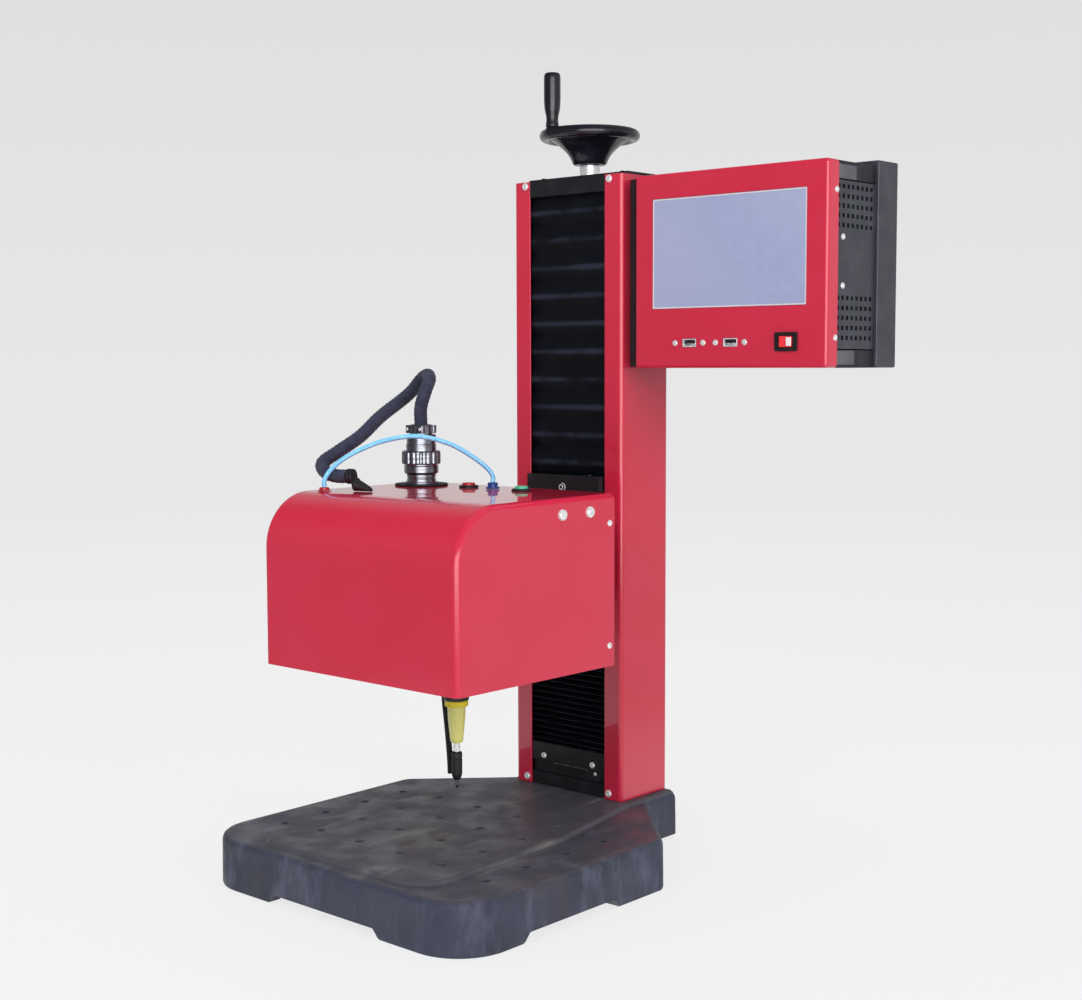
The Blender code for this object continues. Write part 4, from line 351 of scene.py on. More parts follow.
DARK_PAINTS = [
    # name, colour, dust, grain, roughness
    ("black_coat", (0.0085, 0.0095, 0.0125), (0.030, 0.032, 0.040), 700),
    ("spacer_coat", (0.085, 0.088, 0.10), (0.16, 0.165, 0.18), 600, (0.4, 0.56)),
    ("black_plastic", (0.010, 0.010, 0.012), (0.03, 0.03, 0.034), 420),
    ("rubber", (0.012, 0.012, 0.015), (0.038, 0.038, 0.046), 380, (0.5, 0.7)),
    ("pale_edge", (0.62, 0.60, 0.68), (0.75, 0.73, 0.80), 300, (0.3, 0.45)),
]
GLOSS_PLASTICS = [
    # name, colour, handling marks
    ("black_gloss", (0.007, 0.007, 0.012), (0.018, 0.018, 0.034)),
    ("yellow_plastic", (0.72, 0.71, 0.20), (0.86, 0.85, 0.45)),
    ("yellow_ring", (0.84, 0.66, 0.012), (0.92, 0.80, 0.10)),
    ("blue_plastic", (0.012, 0.04, 0.24), (0.04, 0.10, 0.40)),
    ("red_plastic", (0.42, 0.012, 0.022), (0.62, 0.05, 0.06)),
    ("lamp_red", (0.70, 0.02, 0.03), (0.85, 0.14, 0.12)),
    # pale insert on the rocker: a painted highlight
    ("pale_lens", (0.80, 0.76, 0.76), (0.95, 0.92, 0.92)),
    ("green_plastic", (0.07, 0.50, 0.31), (0.25, 0.78, 0.58)),
]
METALS = [
    # name, colour, marks, roughness, direction of the marks, scale, metallic
    ("steel", (0.60, 0.61, 0.63), (0.33, 0.34, 0.36), (0.2, 0.34), (1, 1, 0.1)),
    ("bright_steel", (0.90, 0.91, 0.92), (0.70, 0.71, 0.74), (0.2, 0.34), (1, 1, 1), 300, 0.45),
    ("nickel", (0.36, 0.38, 0.43), (0.15, 0.16, 0.20), (0.24, 0.36), (0.3, 0.3, 3), 160),
    ("dark_steel", (0.16, 0.17, 0.20), (0.07, 0.07, 0.09), (0.3, 0.42), (0.3, 0.3, 3), 160),
    ("aluminium", (0.74, 0.75, 0.77), (0.5, 0.51, 0.53), (0.28, 0.42), (0.15, 1, 1)),
]


def finishes():
    for make in (cast_iron, red_paint, pleated_cloth, screen_face, clear_tube, circuit_board):
        make()
    dark_paint("chassis_coat", (0.030, 0.031, 0.044), (0.064, 0.067, 0.088), 520, (0.4, 0.56),
               Coat_Weight=0.35, Coat_Roughness=0.2)
    cable_sleeve("braid", (0.011, 0.013, 0.028), (0.085, 0.095, 0.165), 10, 900)
    cable_sleeve("hose", (0.010, 0.010, 0.016), (0.032, 0.035, 0.052), 6, 1500)
    for make, rows in ((dark_paint, DARK_PAINTS), (gloss_plastic, GLOSS_PLASTICS),
                       (metal, METALS)):
        for row in rows:
            make(*row)


# Stage and light

WORLD_LIGHT = 0.62
TOWARD_WINDOW, TOWARD_REAR = (0.72, -0.694, 0.0), (-0.667, 0.745, 0.0)
TOWARD_SIDE, UPWARD = (0.745, 0.667, 0.0), (0.0, 0.0, 1.0)
AIM = Vector((0, 0.05, 0.28))
LAMPS = [
    # name, place, size, power
    ("key", (0.7, -2.8, 1.9), 1.5, 32),
    ("fill", (-1.9, -1.6, 1.3), 1.2, 10),
    ("right", (2.7, -0.4, 1.1), 1.2, 34),
    ("top", (0.1, 0.3, 2.6), 1.6, 16),
]


def surroundings(s, window_share=None):
    """Tone that gloss mirrors: a window in front, pale behind, darker elsewhere."""
    level = s.node("VectorMath", s.place, operation="NORMALIZE")["Vector"]

    def toward(direction, *change):
        share = s.node("VectorMath", level, direction, operation="DOT_PRODUCT")["Value"]
        return s.span(share, *change)

    around = s.maths("MAXIMUM", toward(TOWARD_REAR, 0.35, 0.8, 0.0, 0.62),
                     toward(TOWARD_SIDE, -0.5, 0.5, 0.16, 0.5))
    around = s.maths("MULTIPLY", around, toward(UPWARD, 0.2, 0.5, 1.0, 0.45))
    window = s.maths("MULTIPLY", toward(TOWARD_WINDOW, 0.8, 0.95, 0.0, 3.8),
                     toward(UPWARD, 0.15, 0.4, 1.0, 0.0))
    if window_share is not None:
        window = s.maths("MULTIPLY", window, window_share)
    return s.maths("MAXIMUM", around, window)


def stage():
    """Pale floor that runs out to a pale world of the same tone."""
    work = bmesh.new()
    bmesh.ops.create_circle(work, cap_ends=True, segments=96, radius=14)
    floor = added("floor", to_mesh("floor", work))
    floor.location.z = FLOOR_Z * MM
    s = Surface("floor", (0.80, 0.80, 0.80), 0.6)
    s.tint((0.83, 0.83, 0.83), s.patches(1.2, 3, 0.4, 0.6), 0.5)
    s.relief(s.noise(40, 3), 0.0004, 0.2)
    reach = s.node("VectorMath", s.place, operation="LENGTH")["Value"]
    tone = s.span(reach, 0.2, 4.5, 0.90, 0.80)
    near = s.span(reach, 0.35, 1.4, 0.8, 0.0)
    mirrored_tone = s.maths("MAXIMUM", near, surroundings(s, s.span(reach, 1.0, 2.6)))
    ray = s.node("LightPath")
    glow = s.node("Emission", WHITE, s.mix(ray["Is Glossy Ray"], tone, mirrored_tone))
    far = s.maths("MULTIPLY", ray["Is Camera Ray"], s.span(reach, 0.8, 3.5, 0.86, 1.0))
    s.show("Material Output", s.maths("MAXIMUM", far, ray["Is Glossy Ray"]),
           s.shader.outputs["BSDF"], glow["Emission"])
    floor.data.materials.append(s.material)


def world():
    """Even light, and a pale backdrop for the camera and for reflections."""
    made = bpy.data.worlds.new("studio")
    made.use_nodes = True
    SCENE.world = made
    s = Nodes(made.node_tree, "Generated")
    even = s.tree.nodes["Background"]
    even.inputs["Color"].default_value = WHITE
    even.inputs["Strength"].default_value = WORLD_LIGHT
    tone = s.node("MapRange", s.along("Z"), 0.0, 0.25, 0.80, 0.735)["Result"]
    ray = s.node("LightPath")
    strength = s.mix(ray["Is Glossy Ray"], tone, surroundings(s))
    backdrop = s.node("Background", WHITE, strength)["Background"]
    share = s.maths("MAXIMUM", ray["Is Camera Ray"], ray["Is Glossy Ray"])
    s.show("World Output", s.maths("MAXIMUM", share, ray["Is Transmission Ray"]),
           even.outputs["Background"], backdrop)


def lamps():
    """Large soft lamps: what gloss mirrors comes from the floor and the world."""
    for name, place, size, power in LAMPS:
        data = bpy.data.lights.new(name, "AREA")
        data.size = size
        data.energy = power
        lamp = added(name, data)
        lamp.location = place
        lamp.rotation_euler = (AIM - Vector(place)).to_track_quat("-Z", "Y").to_euler()
        lamp.visible_camera = False
        lamp.visible_glossy = False


# Outlines and spans

def grown(span, by):
    return span[0] - by, span[1] + by


def about(middle, half):
    return grown((middle, middle), half)


def rounded(points, steps=6):
    """Outline whose corners (x, y, radius) become arcs."""
    outline = []
    for i, (x, y, radius) in enumerate(points):
        here = Vector((x, y))
        before = Vector(points[i - 1][:2]) - here
        after = Vector(points[(i + 1) % len(points)][:2]) - here
        if radius <= 0:
            outline.append(here)
            continue
        half = before.angle(after) / 2
        reach = radius / tan(half)
        middle = (before.normalized() + after.normalized()).normalized()
        centre = here + middle * radius / sin(half)
        start = here + before.normalized() * reach - centre
        end = here + after.normalized() * reach - centre
        sweep = atan2(start.x * end.y - start.y * end.x, start.dot(end))
        for k in range(steps + 1):
            arm = start.copy()
            arm.rotate(Matrix.Rotation(sweep * k / steps, 2))
            outline.append(centre + arm)
    return outline


def mirrored(points):
    return points + [(-x, y, radius) for x, y, radius in reversed(points)]


def box_outline(x0, x1, y0, y1, radius):
    return [(x0, y0, radius), (x1, y0, radius), (x1, y1, radius), (x0, y1, radius)]


def circle(x, y, radius, count):
    return [(x + radius * cos(2 * pi * k / count),
             y + radius * sin(2 * pi * k / count)) for k in range(count)]


# Meshes, in millimetres

TURNS = {"Z": Matrix.Identity(4),
         "X": Matrix(((0, 0, 1, 0), (1, 0, 0, 0), (0, 1, 0, 0), (0, 0, 0, 1))),
         "Y": Matrix(((1, 0, 0, 0), (0, 0, 1, 0), (0, 1, 0, 0), (0, 0, 0, 1)))}


def to_mesh(name, work):
    bmesh.ops.recalc_face_normals(work, faces=work.faces)
    mesh = bpy.data.meshes.new(name)
    work.to_mesh(mesh)
    work.free()
    return mesh


def evaluated(holder):
    """Mesh of an object with its modifiers applied; the object goes."""
    bpy.context.view_layer.update()
    graph = bpy.context.evaluated_depsgraph_get()
    mesh = bpy.data.meshes.new_from_object(holder.evaluated_get(graph))
    bpy.data.objects.remove(holder)
    return mesh


def slab(outline, low, high, axis="Z", holes=()):
    """Plate of an outline, with holes, between two heights along an axis."""
    curve = bpy.data.curves.new("outline", "CURVE")
    curve.dimensions = "2D"
    curve.fill_mode = "BOTH"
    curve.extrude = (high - low) / 2
    for loop in [outline, *holes]:
        line = curve.splines.new("POLY")
        line.points.add(len(loop) - 1)
        for point, at in zip(line.points, loop):
            point.co = (at[0], at[1], 0, 1)
        line.use_cyclic_u = True
    mesh = evaluated(added("holder", curve))
    mesh.transform(TURNS[axis] @ Matrix.Translation((0, 0, (low + high) / 2)))
    work = bmesh.new()
    work.from_mesh(mesh)
    bmesh.ops.remove_doubles(work, verts=work.verts, dist=0.001)
    bmesh.ops.dissolve_limit(work, angle_limit=0.005, verts=work.verts, edges=work.edges)
    return to_mesh("slab", work)


def box(x, y, z, radius=0.0, axis="Z", steps=6, holes=()):
    """Box with rounded corners: two spans across an axis, then the span along it."""
    return slab(rounded(box_outline(*x, *y, radius), steps), *z, axis, holes)


def lofted(rings, closed=False):
    """Skin over rings of equally many points; ends are capped."""
    work = bmesh.new()
    rows = [[work.verts.new(point) for point in ring] for ring in rings]
    for lower, upper in zip(rows, rows[1:] + (rows[:1] if closed else [])):
        count = len(lower)
        for k in range(count):
            after = (k + 1) % count
            work.faces.new((lower[k], lower[after], upper[after], upper[k]))
    if not closed:
        work.faces.new(rows[0])
        work.faces.new(rows[-1])
    return to_mesh("loft", work)


def turned(profile, centre, segments=48, closed=False, base=0.0):
    """Turned solid: (radius, height above the base) down the outer side."""
    return lofted([[(x, y, base + height)
                    for x, y in circle(*centre, max(radius, 0.01), segments)]
                   for radius, height in profile], closed)


def cylinder(centre, radius, low, high, segments=40):
    return turned([(0, high), (radius, high), (radius, low), (0, low)], centre, segments)


def fluted(profile, centre, count, depth, share, steps=6, base=0.0):
    """Like turned, with ribs along the axis where a ring's depth is above 0."""
    x, y = centre
    total = count * steps
    rings = []
    for radius, height, deep in profile:
        ring = []
        for k in range(total):
            inside = 0.5 - 0.5 * cos(2 * pi * (k % steps) / steps)
            inside = max(0.0, (inside - share)) / (1 - share)
            r = radius - depth * deep * inside
            angle = 2 * pi * k / total
            ring.append((x + r * cos(angle), y + r * sin(angle), base + height))
        rings.append(ring)
    return lofted(rings)


def merged(*meshes):
    work = bmesh.new()
    for mesh in meshes:
        work.from_mesh(mesh)
    return to_mesh("merged", work)


def boolean(first, others, operation="DIFFERENCE"):
    holder = added("holder", first)
    tools = [added("holder", other) for other in others]
    for tool in tools:
        change = holder.modifiers.new("cut", "BOOLEAN")
        change.operation = operation
        change.solver = "EXACT"
        change.object = tool
    mesh = evaluated(holder)
    for tool in tools:
        bpy.data.objects.remove(tool)
    return mesh


def edged(shown, width, segments, angle):
    """Rounds the edges that are sharper than an angle, with a modifier."""
    change = shown.modifiers.new("edge", "BEVEL")
    change.width = width
    change.segments = segments
    change.limit_method = "ANGLE"
    change.angle_limit = radians(angle)
    return change


def softened(mesh, width, segments=2, angle=40):
    """Mesh with its sharp edges rounded."""
    holder = added("holder", mesh)
    edged(holder, width, segments, angle).miter_outer = "MITER_ARC"
    return evaluated(holder)


# Pieces

def shade(mesh, angle):
    mesh.shade_smooth()
    mesh.set_sharp_from_angle(angle=radians(angle))


def coated(name, mesh, finish):
    """Object of a mesh given in millimetres, with its material."""
    mesh.transform(Matrix.Scale(MM, 4))
    mesh.materials.clear()
    mesh.materials.append(FINISH[finish])
    return added(name, mesh)


def piece(name, mesh, finish, body, replaces=(), angle=35):
    """Adds a piece given in millimetres, riding on a body."""
    made = coated(name, mesh, finish)
    mesh.name = name
    shade(mesh, angle)
    made.modifiers.new("normals", "WEIGHTED_NORMAL").keep_sharp = True
    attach(made, body)
    if replaces:
        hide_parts(*replaces)
    return made


DRESSED = [
    # finish, width of the fine edges in millimetres, nodes
    ("black_coat", 0.4, ["column_channel"]),
    ("black_coat", 0.5, ["foot_block", "controller_bracket", "head_bracket", "lift_carriage"]),
    ("steel", 0.25, ["top_bearing", "foot_bearing", "left_guide_rail", "right_guide_rail",
                     "lift_screw", "left_y_rod", "right_y_rod", "front_x_rod", "rear_x_rod",
                     "left_rail_block", "right_rail_block", "lift_nut"]),
    ("bright_steel", 0.25, ["usb_ports"]),
    ("dark_steel", 0, ["needle"]),
    ("red_paint", 0.3, ["hood_back"]),
    ("aluminium", 0.3, ["gantry_plate", "y_bridge", "x_carriage"]),
    ("chassis_coat", 0.4, ["y_motor", "x_motor"]),
    ("rubber", 0, ["x_belt", "y_belt"]),
    ("circuit_board", 0.3, ["control_board"]),
]


def dress():
    """The CAD nodes that stay: their material, and fine edges from a modifier."""
    for finish, width, nodes in DRESSED:
        for node in nodes:
            shown = NODES[node]
            for slot in shown.material_slots:
                slot.material = FINISH[finish]
            if width:
                shown.modifiers.new("weld", "WELD").merge_threshold = 0.00001
                edged(shown, width * MM, 2, 40)


# Screws

def screw(at, axis, outward, radius, height):
    """Button head with a hexagon socket, pointing outward along an axis."""
    count, socket, depth = 24, 0.46, 0.35
    profile = [(0.98, -0.25), (1.0, 0.15), (0.97, 0.45), (0.86, 0.75), (0.68, 0.93), (0.56, 1.0)]
    rings = [[(x, y, height * rise) for x, y in circle(0, 0, radius * part, count)]
             for part, rise in profile]
    for rise, part in ((1.0, 1.0), (1.0 - depth, 0.94)):
        ring = []
        for k in range(count):
            angle = 2 * pi * k / count
            wedge = (angle % (pi / 3)) - pi / 6
            r = radius * socket * part * cos(pi / 6) / cos(wedge)
            ring.append((r * cos(angle), r * sin(angle), height * rise))
        rings.append(ring)
    mesh = lofted(rings)
    if outward < 0:
        mesh.transform(Matrix.Rotation(pi, 4, "X"))
    mesh.transform(Matrix.Translation(at) @ TURNS[axis])
    return mesh


def screws(name, body, axis, radius, height, places, finish="bright_steel"):
    """Screws that face forward, upward, or outward on either side."""
    meshes = [screw(at, axis, {"X": at[0], "Y": -1, "Z": 1}[axis], radius, height)
              for at in places]
    piece(name, merged(*meshes), finish, body, angle=28)


# Cords

def smooth_points(route, count):
    """Even points along a smooth curve through a route."""
    points = [Vector(point) for point in route]
    ends = [2 * points[0] - points[1]] + points + [2 * points[-1] - points[-2]]
    dense = []
    for a, b, c, d in zip(ends, ends[1:], ends[2:], ends[3:]):
        reach = (c - b).length / 3
        dense += interpolate_bezier(b, b + (c - a).normalized() * reach,
                                    c - (d - b).normalized() * reach, c, 20)[:-1]
    dense.append(points[-1])
    travelled = [0.0]
    for p, q in zip(dense, dense[1:]):
        travelled.append(travelled[-1] + (q - p).length)
    even, place = [points[0]], 0
    for k in range(1, count):
        target = travelled[-1] * k / count
        while travelled[place + 1] < target:
            place += 1
        share = (target - travelled[place]) / (travelled[place + 1] - travelled[place])
        even.append(dense[place].lerp(dense[place + 1], share))
    return even + [points[-1]]


def tube(points, radius, sides, ribs=0.0, rib_length=3.0):
    """Tube along points, with its girth and length kept as UV for the sleeve."""
    work = bmesh.new()
    uv = work.loops.layers.uv.new("tube")
    tangents = [(b - a).normalized() for a, b in zip(points[:1] + points[:-1],
                                                     points[1:] + points[-1:])]
    side = tangents[0].orthogonal().normalized()
    rows, lengths, travelled = [], [], 0.0
    for k, (point, tangent) in enumerate(zip(points, tangents)):
        if k:
            travelled += (point - points[k - 1]).length
            side = (side - tangent * side.dot(tangent)).normalized()
        other = tangent.cross(side)
        r = radius + ribs * cos(2 * pi * travelled / rib_length)
        rows.append([work.verts.new(point + (side * cos(a) + other * sin(a)) * r)
                     for a in (2 * pi * j / sides for j in range(sides))])
        lengths.append(travelled)
    for k in range(len(rows) - 1):
        for j in range(sides):
            after = (j + 1) % sides
            face = work.faces.new((rows[k][j], rows[k][after], rows[k + 1][after],
                                   rows[k + 1][j]))
            corners = ((j, k), (j + 1, k), (j + 1, k + 1), (j, k + 1))
            for loop, (u, v) in zip(face.loops, corners):
                loop[uv].uv = (u / sides, lengths[v] * MM)
    for row in (rows[0], rows[-1]):
        work.faces.new(row)
    return to_mesh("tube", work), travelled


def cords():
    """Cable over the hood, the air tube and the hose beside the stylus."""
    points = smooth_points(CABLE_ROUTE, 150)
    mesh, length = tube(points, 5.75, 24, 0.22, 2.6)
    cable = piece("signal_cable_sleeve", mesh, "braid", "head", ["signal_cable"], 70)
    points = smooth_points(TUBE_ROUTE, 120)
    mesh, length = tube(points, 2.0, 20)
    air = piece("air_tube_blue", mesh, "blue_tube", "head", ["air_tube"], 70)
    points = smooth_points(HOSE_ROUTE, 70)
    mesh, length = tube(points, 2.5, 18)
    hose = piece("stylus_hose_black", mesh, "hose", "x_stage", ["stylus_hose"], 70)


# Base

def base():
    """Casting with soft edges, a raised table with its holes, and notches below."""
    half, tail, front, waist = 154, 72, -151, 86
    outline = rounded(mirrored([(half, front, 45), (half, waist, 14), (tail, 168, 12),
                                (tail, 213.9, 6)]), 12)
    kept = rounded(mirrored([(half - 2, front + 2, 43), (half - 2, 85.2, 13),
                             (tail - 2, 167.2, 12), (tail - 2, 211.9, 5)]), 12)
    table = rounded(mirrored([(101, -136, 28), (92, 28.7, 80), (69, 142, 20), (69, 207.9, 3)]), 12)
    shell = rings_of(outline, [(2.2, FLOOR_Z), (0.7, -44.9), (0, -43.2), (0.2, -24), (0.5, -7.6),
                               (1.3, -5.0), (3.0, -3.6), (5.2, -3.05)])
    top = rings_of(table, [(-5.5, -4.2), (-3.4, -2.95), (-1.9, -2.2), (-0.9, -1.1),
                           (-0.1, -0.35), (1.2, 0.0)])
    top = boolean(top, [slab(kept, -9, 3)], "INTERSECT")
    cutters = [slab(rounded(notch(-63, 63)), -240, 225, "Y"),
               slab([(y, z) for y, z in rounded(notch(-82, 26))], -170, 170, "X"),
               box((-75, 75), (176, 230), (-60, -41))]
    wall, rib = 12, 10
    width = (2 * half - 2 * wall - 3 * rib) / 4
    depth = (waist - front - wall - 3 * rib) / 4
    for i in range(4):
        for j in range(4):
            x, y = -half + wall + i * (width + rib), front + wall + j * (depth + rib)
            corners = box_outline(x, x + width, y, y + depth, 6)
            if j == 0 and i in (0, 3):
                outer = 0 if i == 0 else 1
                corners[outer] = (*corners[outer][:2], 33)
            cutters.append(slab(rounded(corners), -60, -14))
    hole = [(0, 4), (5.0, 4), (4.3, 0.05), (3.4, -0.8), (3.4, -17), (0, -17)]
    holes = [turned(hole, (-118.75 + i * 47.5, -89 + j * 46), 20)
             for i in range(6) for j in range(4)]
    body = boolean(boolean(shell, [top], "UNION"), cutters)
    body = softened(boolean(body, holes), 0.9)
    piece("cast_base", body, "iron_paint", "frame", ["base_casting"], 50)


def notch(low, high):
    """Notch under the base with slanted, rounded ends, seen along it."""
    roof = -37.5
    return [(low - 8, -52, 0), (low - 3.5, FLOOR_Z, 2.5), (low + 4, roof, 3),
            (high - 4, roof, 3), (high + 3.5, FLOOR_Z, 2.5), (high + 8, -52, 0)]


def rings_of(outline, steps):
    """Loft of an outline drawn in by each inset, at each height."""
    count = len(outline)
    inward = []
    for k in range(count):
        a = (outline[k] - outline[k - 1]).normalized()
        b = (outline[(k + 1) % count] - outline[k]).normalized()
        across = Vector((a.y + b.y, -a.x - b.x)).normalized()
        half = max(0.5, sqrt((1 + a.dot(b)) / 2))
        inward.append(across / half)
    area = sum(a.x * b.y - b.x * a.y for a, b in zip(outline, outline[1:] + outline[:1]))
    sense = -1 if area > 0 else 1
    return lofted([[(p.x + n.x * sense * inset, p.y + n.y * sense * inset, z)
                    for p, n in zip(outline, inward)] for inset, z in steps])


# Column

def column():
    """Bent cover, cap, and the plate at the foot of the slot, with their screws."""
    side, sheet = COLUMN_SIDE, 1.5
    outer = [(SLOT_SIDE, COLUMN_FRONT + sheet, 0), (SLOT_SIDE, COLUMN_FRONT, 0.5),
             (side, COLUMN_FRONT, 4.5), (side, COLUMN_REAR, 4.5)]
    inner = [(side - sheet, COLUMN_REAR - sheet, 3), (side - sheet, COLUMN_FRONT + sheet, 3)]
    outline = rounded(mirrored(outer) + [(-x, y, r) for x, y, r in reversed(inner)] + inner, 8)
    cover = softened(slab(outline, 0.3, COLUMN_TOP), 0.35, 2, 60)
    piece("column_sheet", cover, "red_paint", "frame", ["column_cover"])
    screws("column_screws", "frame", "Y", 3.3, 2.0,
           product((-48.7, 48.7), [COLUMN_FRONT], (5.85, 546)))
    strip = about(0, STRIP_SIDE)
    cap_top = 553.3
    cap = boolean(box((-57.6, 57.6), (157, 208.2), (549.4, cap_top)),
                  [box((-56, 56), (144, 201), (536, 550.2)), box(strip, (142, 145), (536, 550.2))],
                  "UNION")
    cap = boolean(cap, [cylinder(SCREW_AT, 6.2, 530, 560), cylinder(SCREW_AT, 11.3, 530, 545.3)])
    piece("cap_plate", softened(cap, 0.6, 2, 50), "black_coat", "frame", ["top_cap"])
    screws("cap_screws", "frame", "Z", 2.7, 1.5, product((-46, 46), (164, 201), [cap_top]),
           "black_coat")
    lower = softened(box(strip, (12.3, 24), (145.5, 149), 0.5, "Y"), 0.4, 2, 50)
    upper = softened(box(strip, (22.8, 40), (143, 148), 0.8, "Y"), 0.6, 3, 50)
    piece("lower_plate", merged(lower, upper), "black_coat", "frame", ["foot_plate"])
    screws("lower_plate_screws", "frame", "Y", 2.9, 1.5, [(-29, 143, 28), (29, 143, 28)])
    screws("lower_edge_screw", "frame", "Y", 1.7, 1.0, [(30.5, 145.5, 19.7)])
    worn = [softened(box((a, b), (22.5, 23.1 + 0.1 * (b % 3)), (142.8, 143.6), 0.25, "Y"),
                     0.15, 1, 50)
            for a, b in ((-17, -12), (-10.5, -8.8), (-7.6, -1), (0.2, 12), (13.4, 16), (17, 24))]
    piece("lower_plate_edge", merged(*worn), "steel", "frame")


def bellows(name, fixed, moving, pleats, breaks, bow, depth):
    """Pleated cover in runs of pleats that share its length evenly."""
    half, columns, steps = 46, 36, 14
    thick, front = 0.9, 144.5
    pitch = (moving - fixed) / pleats
    wander = [[random.uniform(-1, 1) for _ in range(4)] for _ in range(pleats)]

    def surface(k, t, x):
        fold = abs(2 * t ** bow - 1) if t < 1 else 1.0
        swell = (sqrt(1.01) - sqrt(fold * fold + 0.01)) / (sqrt(1.01) - 0.1)
        across = x / half
        a, b, c, d = wander[k]
        uneven = 0.35 * a * sin(2.2 * across + 3 * b) + 0.2 * c * sin(6 * across + d)
        return front + depth * (1 - swell) + 0.55 * swell * (uneven + 0.5)

    for n, (first, last) in enumerate(zip(breaks, breaks[1:])):
        work = bmesh.new()
        rows = []
        total = (last - first) * steps
        for i in range(total + 1):
            k, part = divmod(first * steps + i, steps)
            if i == total:
                k, part = last - 1, steps
            z = fixed + (k + part / steps) * pitch
            t = part / steps if pitch > 0 else 1 - part / steps
            across = [-half + 2 * half * j / columns for j in range(columns + 1)]
            rows.append([work.verts.new((x, surface(k, t, x), z)) for x in across])
        for low, high in zip(rows, rows[1:]):
            for j in range(columns):
                work.faces.new((low[j], low[j + 1], high[j + 1], high[j]))
        mesh = to_mesh("pleats", work)
        holder = added("holder", mesh)
        shell = holder.modifiers.new("thick", "SOLIDIFY")
        shell.thickness = thick
        shell.offset = 1 if facing_back(mesh) else -1
        run = coated(f"{name}_run_{n + 1}", evaluated(holder), "pleated_cloth")
        shade(run.data, 60)
        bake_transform(run)
        if n == 0:
            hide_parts(name)


def facing_back(mesh):
    """True where the sheet's faces look towards the column's inside."""
    return sum(face.normal.y for face in mesh.polygons) > 0


# Handwheel

def handwheel():
    """Dished wheel with a round rim, its collar and nut, and the revolving grip."""
    rim = [(40 + 5 * cos(radians(a)), 589.6 + 5 * sin(radians(a)))
           for a in range(150, -151, -15)]
    profile = [
        (5.4, 586), (12.4, 586), (13.8, 585.4), (14.5, 583.6), (14.8, 581.6), (17, 580.4),
        (21, 581.4), (26, 584.6), (31, 588.0), (34, 589.8),
        *(point for point in rim if point[0] > 34.2 or point[1] < 589.6),
        (34.2, 585.2), (31, 583.6), (27, 580.6), (23.5, 577.6), (20.5, 574.6), (18, 571.2),
        (16.4, 568), (15.2, 565.2), (14.2, 564.2), (13.2, 563.95), (5.4, 563.95)]
    wheel = turned(profile, SCREW_AT, 96, closed=True)
    pin = turned([(0, 630), (2.0, 630), (2.5, 629.4), (2.5, 592), (0, 592)], GRIP_AT, 20)
    boss = turned([(0, 594.7), (4.8, 594.7), (5.8, 593.6), (6.2, 591), (0, 591)], GRIP_AT, 28)
    piece("moulded_wheel", merged(wheel, pin, boss), "black_gloss", "lift_screw",
          ["handwheel"], 40)
    profile = [(5.4, 563.6), (8.4, 563.6), (9, 563.1), (9, 559.2), (8.8, 559.0), (8.8, 558.6),
               (9, 558.4), (9, 554.1), (8.5, 553.6), (5.4, 553.6)]
    piece("polished_collar", turned(profile, SCREW_AT, 64, closed=True), "bright_steel",
          "lift_screw", ["wheel_collar"])
    nut = boolean(slab(circle(*SCREW_AT, 8.5, 6), 586.3, 592.3),
                  [cylinder(SCREW_AT, 5.3, 580, 600)])
    piece("domed_nut", softened(nut, 0.5), "steel", "lift_screw", ["wheel_nut"])
    grip = [
        (2.95, 594.9), (5.6, 594.9), (5.9, 595.4), (5.8, 596.8), (5.35, 599.5), (5.3, 602),
        (5.6, 604.6), (6.2, 607.2), (6.8, 610), (7.15, 613.5), (7.35, 618), (7.4, 624),
        (7.4, 635.6), (7.3, 638.3), (6.9, 640.1), (6.1, 641.2), (4.8, 641.6), (3.4, 641.4),
        (3.2, 640.8), (0, 640.6), (0, 632), (2.95, 632)]
    piece("turned_grip", turned(grip, GRIP_AT), "black_gloss", "grip", ["revolving_grip"], 40)


# Marking head

def hood_form(inset, rear, bottom):
    """Side profile with its bent front, its long edges rounded."""
    front, top, side = HOOD_FRONT + inset, HOOD_TOP - inset, HOOD_SIDE - inset
    outline = rounded([(front, bottom, 0), (rear, bottom, 0), (rear, top, 0),
                       (front, top, HOOD_BEND - inset)], 28)
    work = bmesh.new()
    work.from_mesh(slab(outline, -side, side, "X"))
    edges = []
    for edge in work.edges:
        a, b = (vertex.co for vertex in edge.verts)
        on_side = abs(a.x - b.x) < 0.1 and abs(abs(a.x) - side) < 0.1
        if on_side and min(a.y, b.y) < rear - 0.1 and max(a.z, b.z) > bottom + 0.1 \
                and len(edge.link_faces) == 2 and edge.calc_face_angle() > 1:
            edges.append(edge)
    bmesh.ops.bevel(work, geom=edges, offset=HOOD_CORNER - inset, segments=7, profile=0.5,
                    affect="EDGES", clamp_overlap=True)
    return to_mesh("hood", work)


def hood():
    shell = boolean(hood_form(0, HOOD_REAR, HOOD_BOTTOM),
                    [hood_form(1.5, HOOD_REAR + 20, HOOD_BOTTOM - 20)])
    shell = boolean(shell, [cylinder(at, r, 270, 290) for at, r in (
        (CONNECTOR, 10.3), *((at, 6.8) for _, at, _ in BUTTONS))])
    piece("hood_shell", shell, "red_paint", "head", ["hood"], 24)
    sides = about(0, HOOD_SIDE)
    screws("hood_hanging_screws", "head", "X", 4.7, 2.9, product(sides, (6.4, 40), [268]))
    screws("hood_edge_screws", "head", "X", 2.7, 1.5, product(sides, [65.1], (156.2, 257.2)))
    screws("strip_screw", "head", "Y", 3.7, 2.2, [(0, 136, 277.4)])


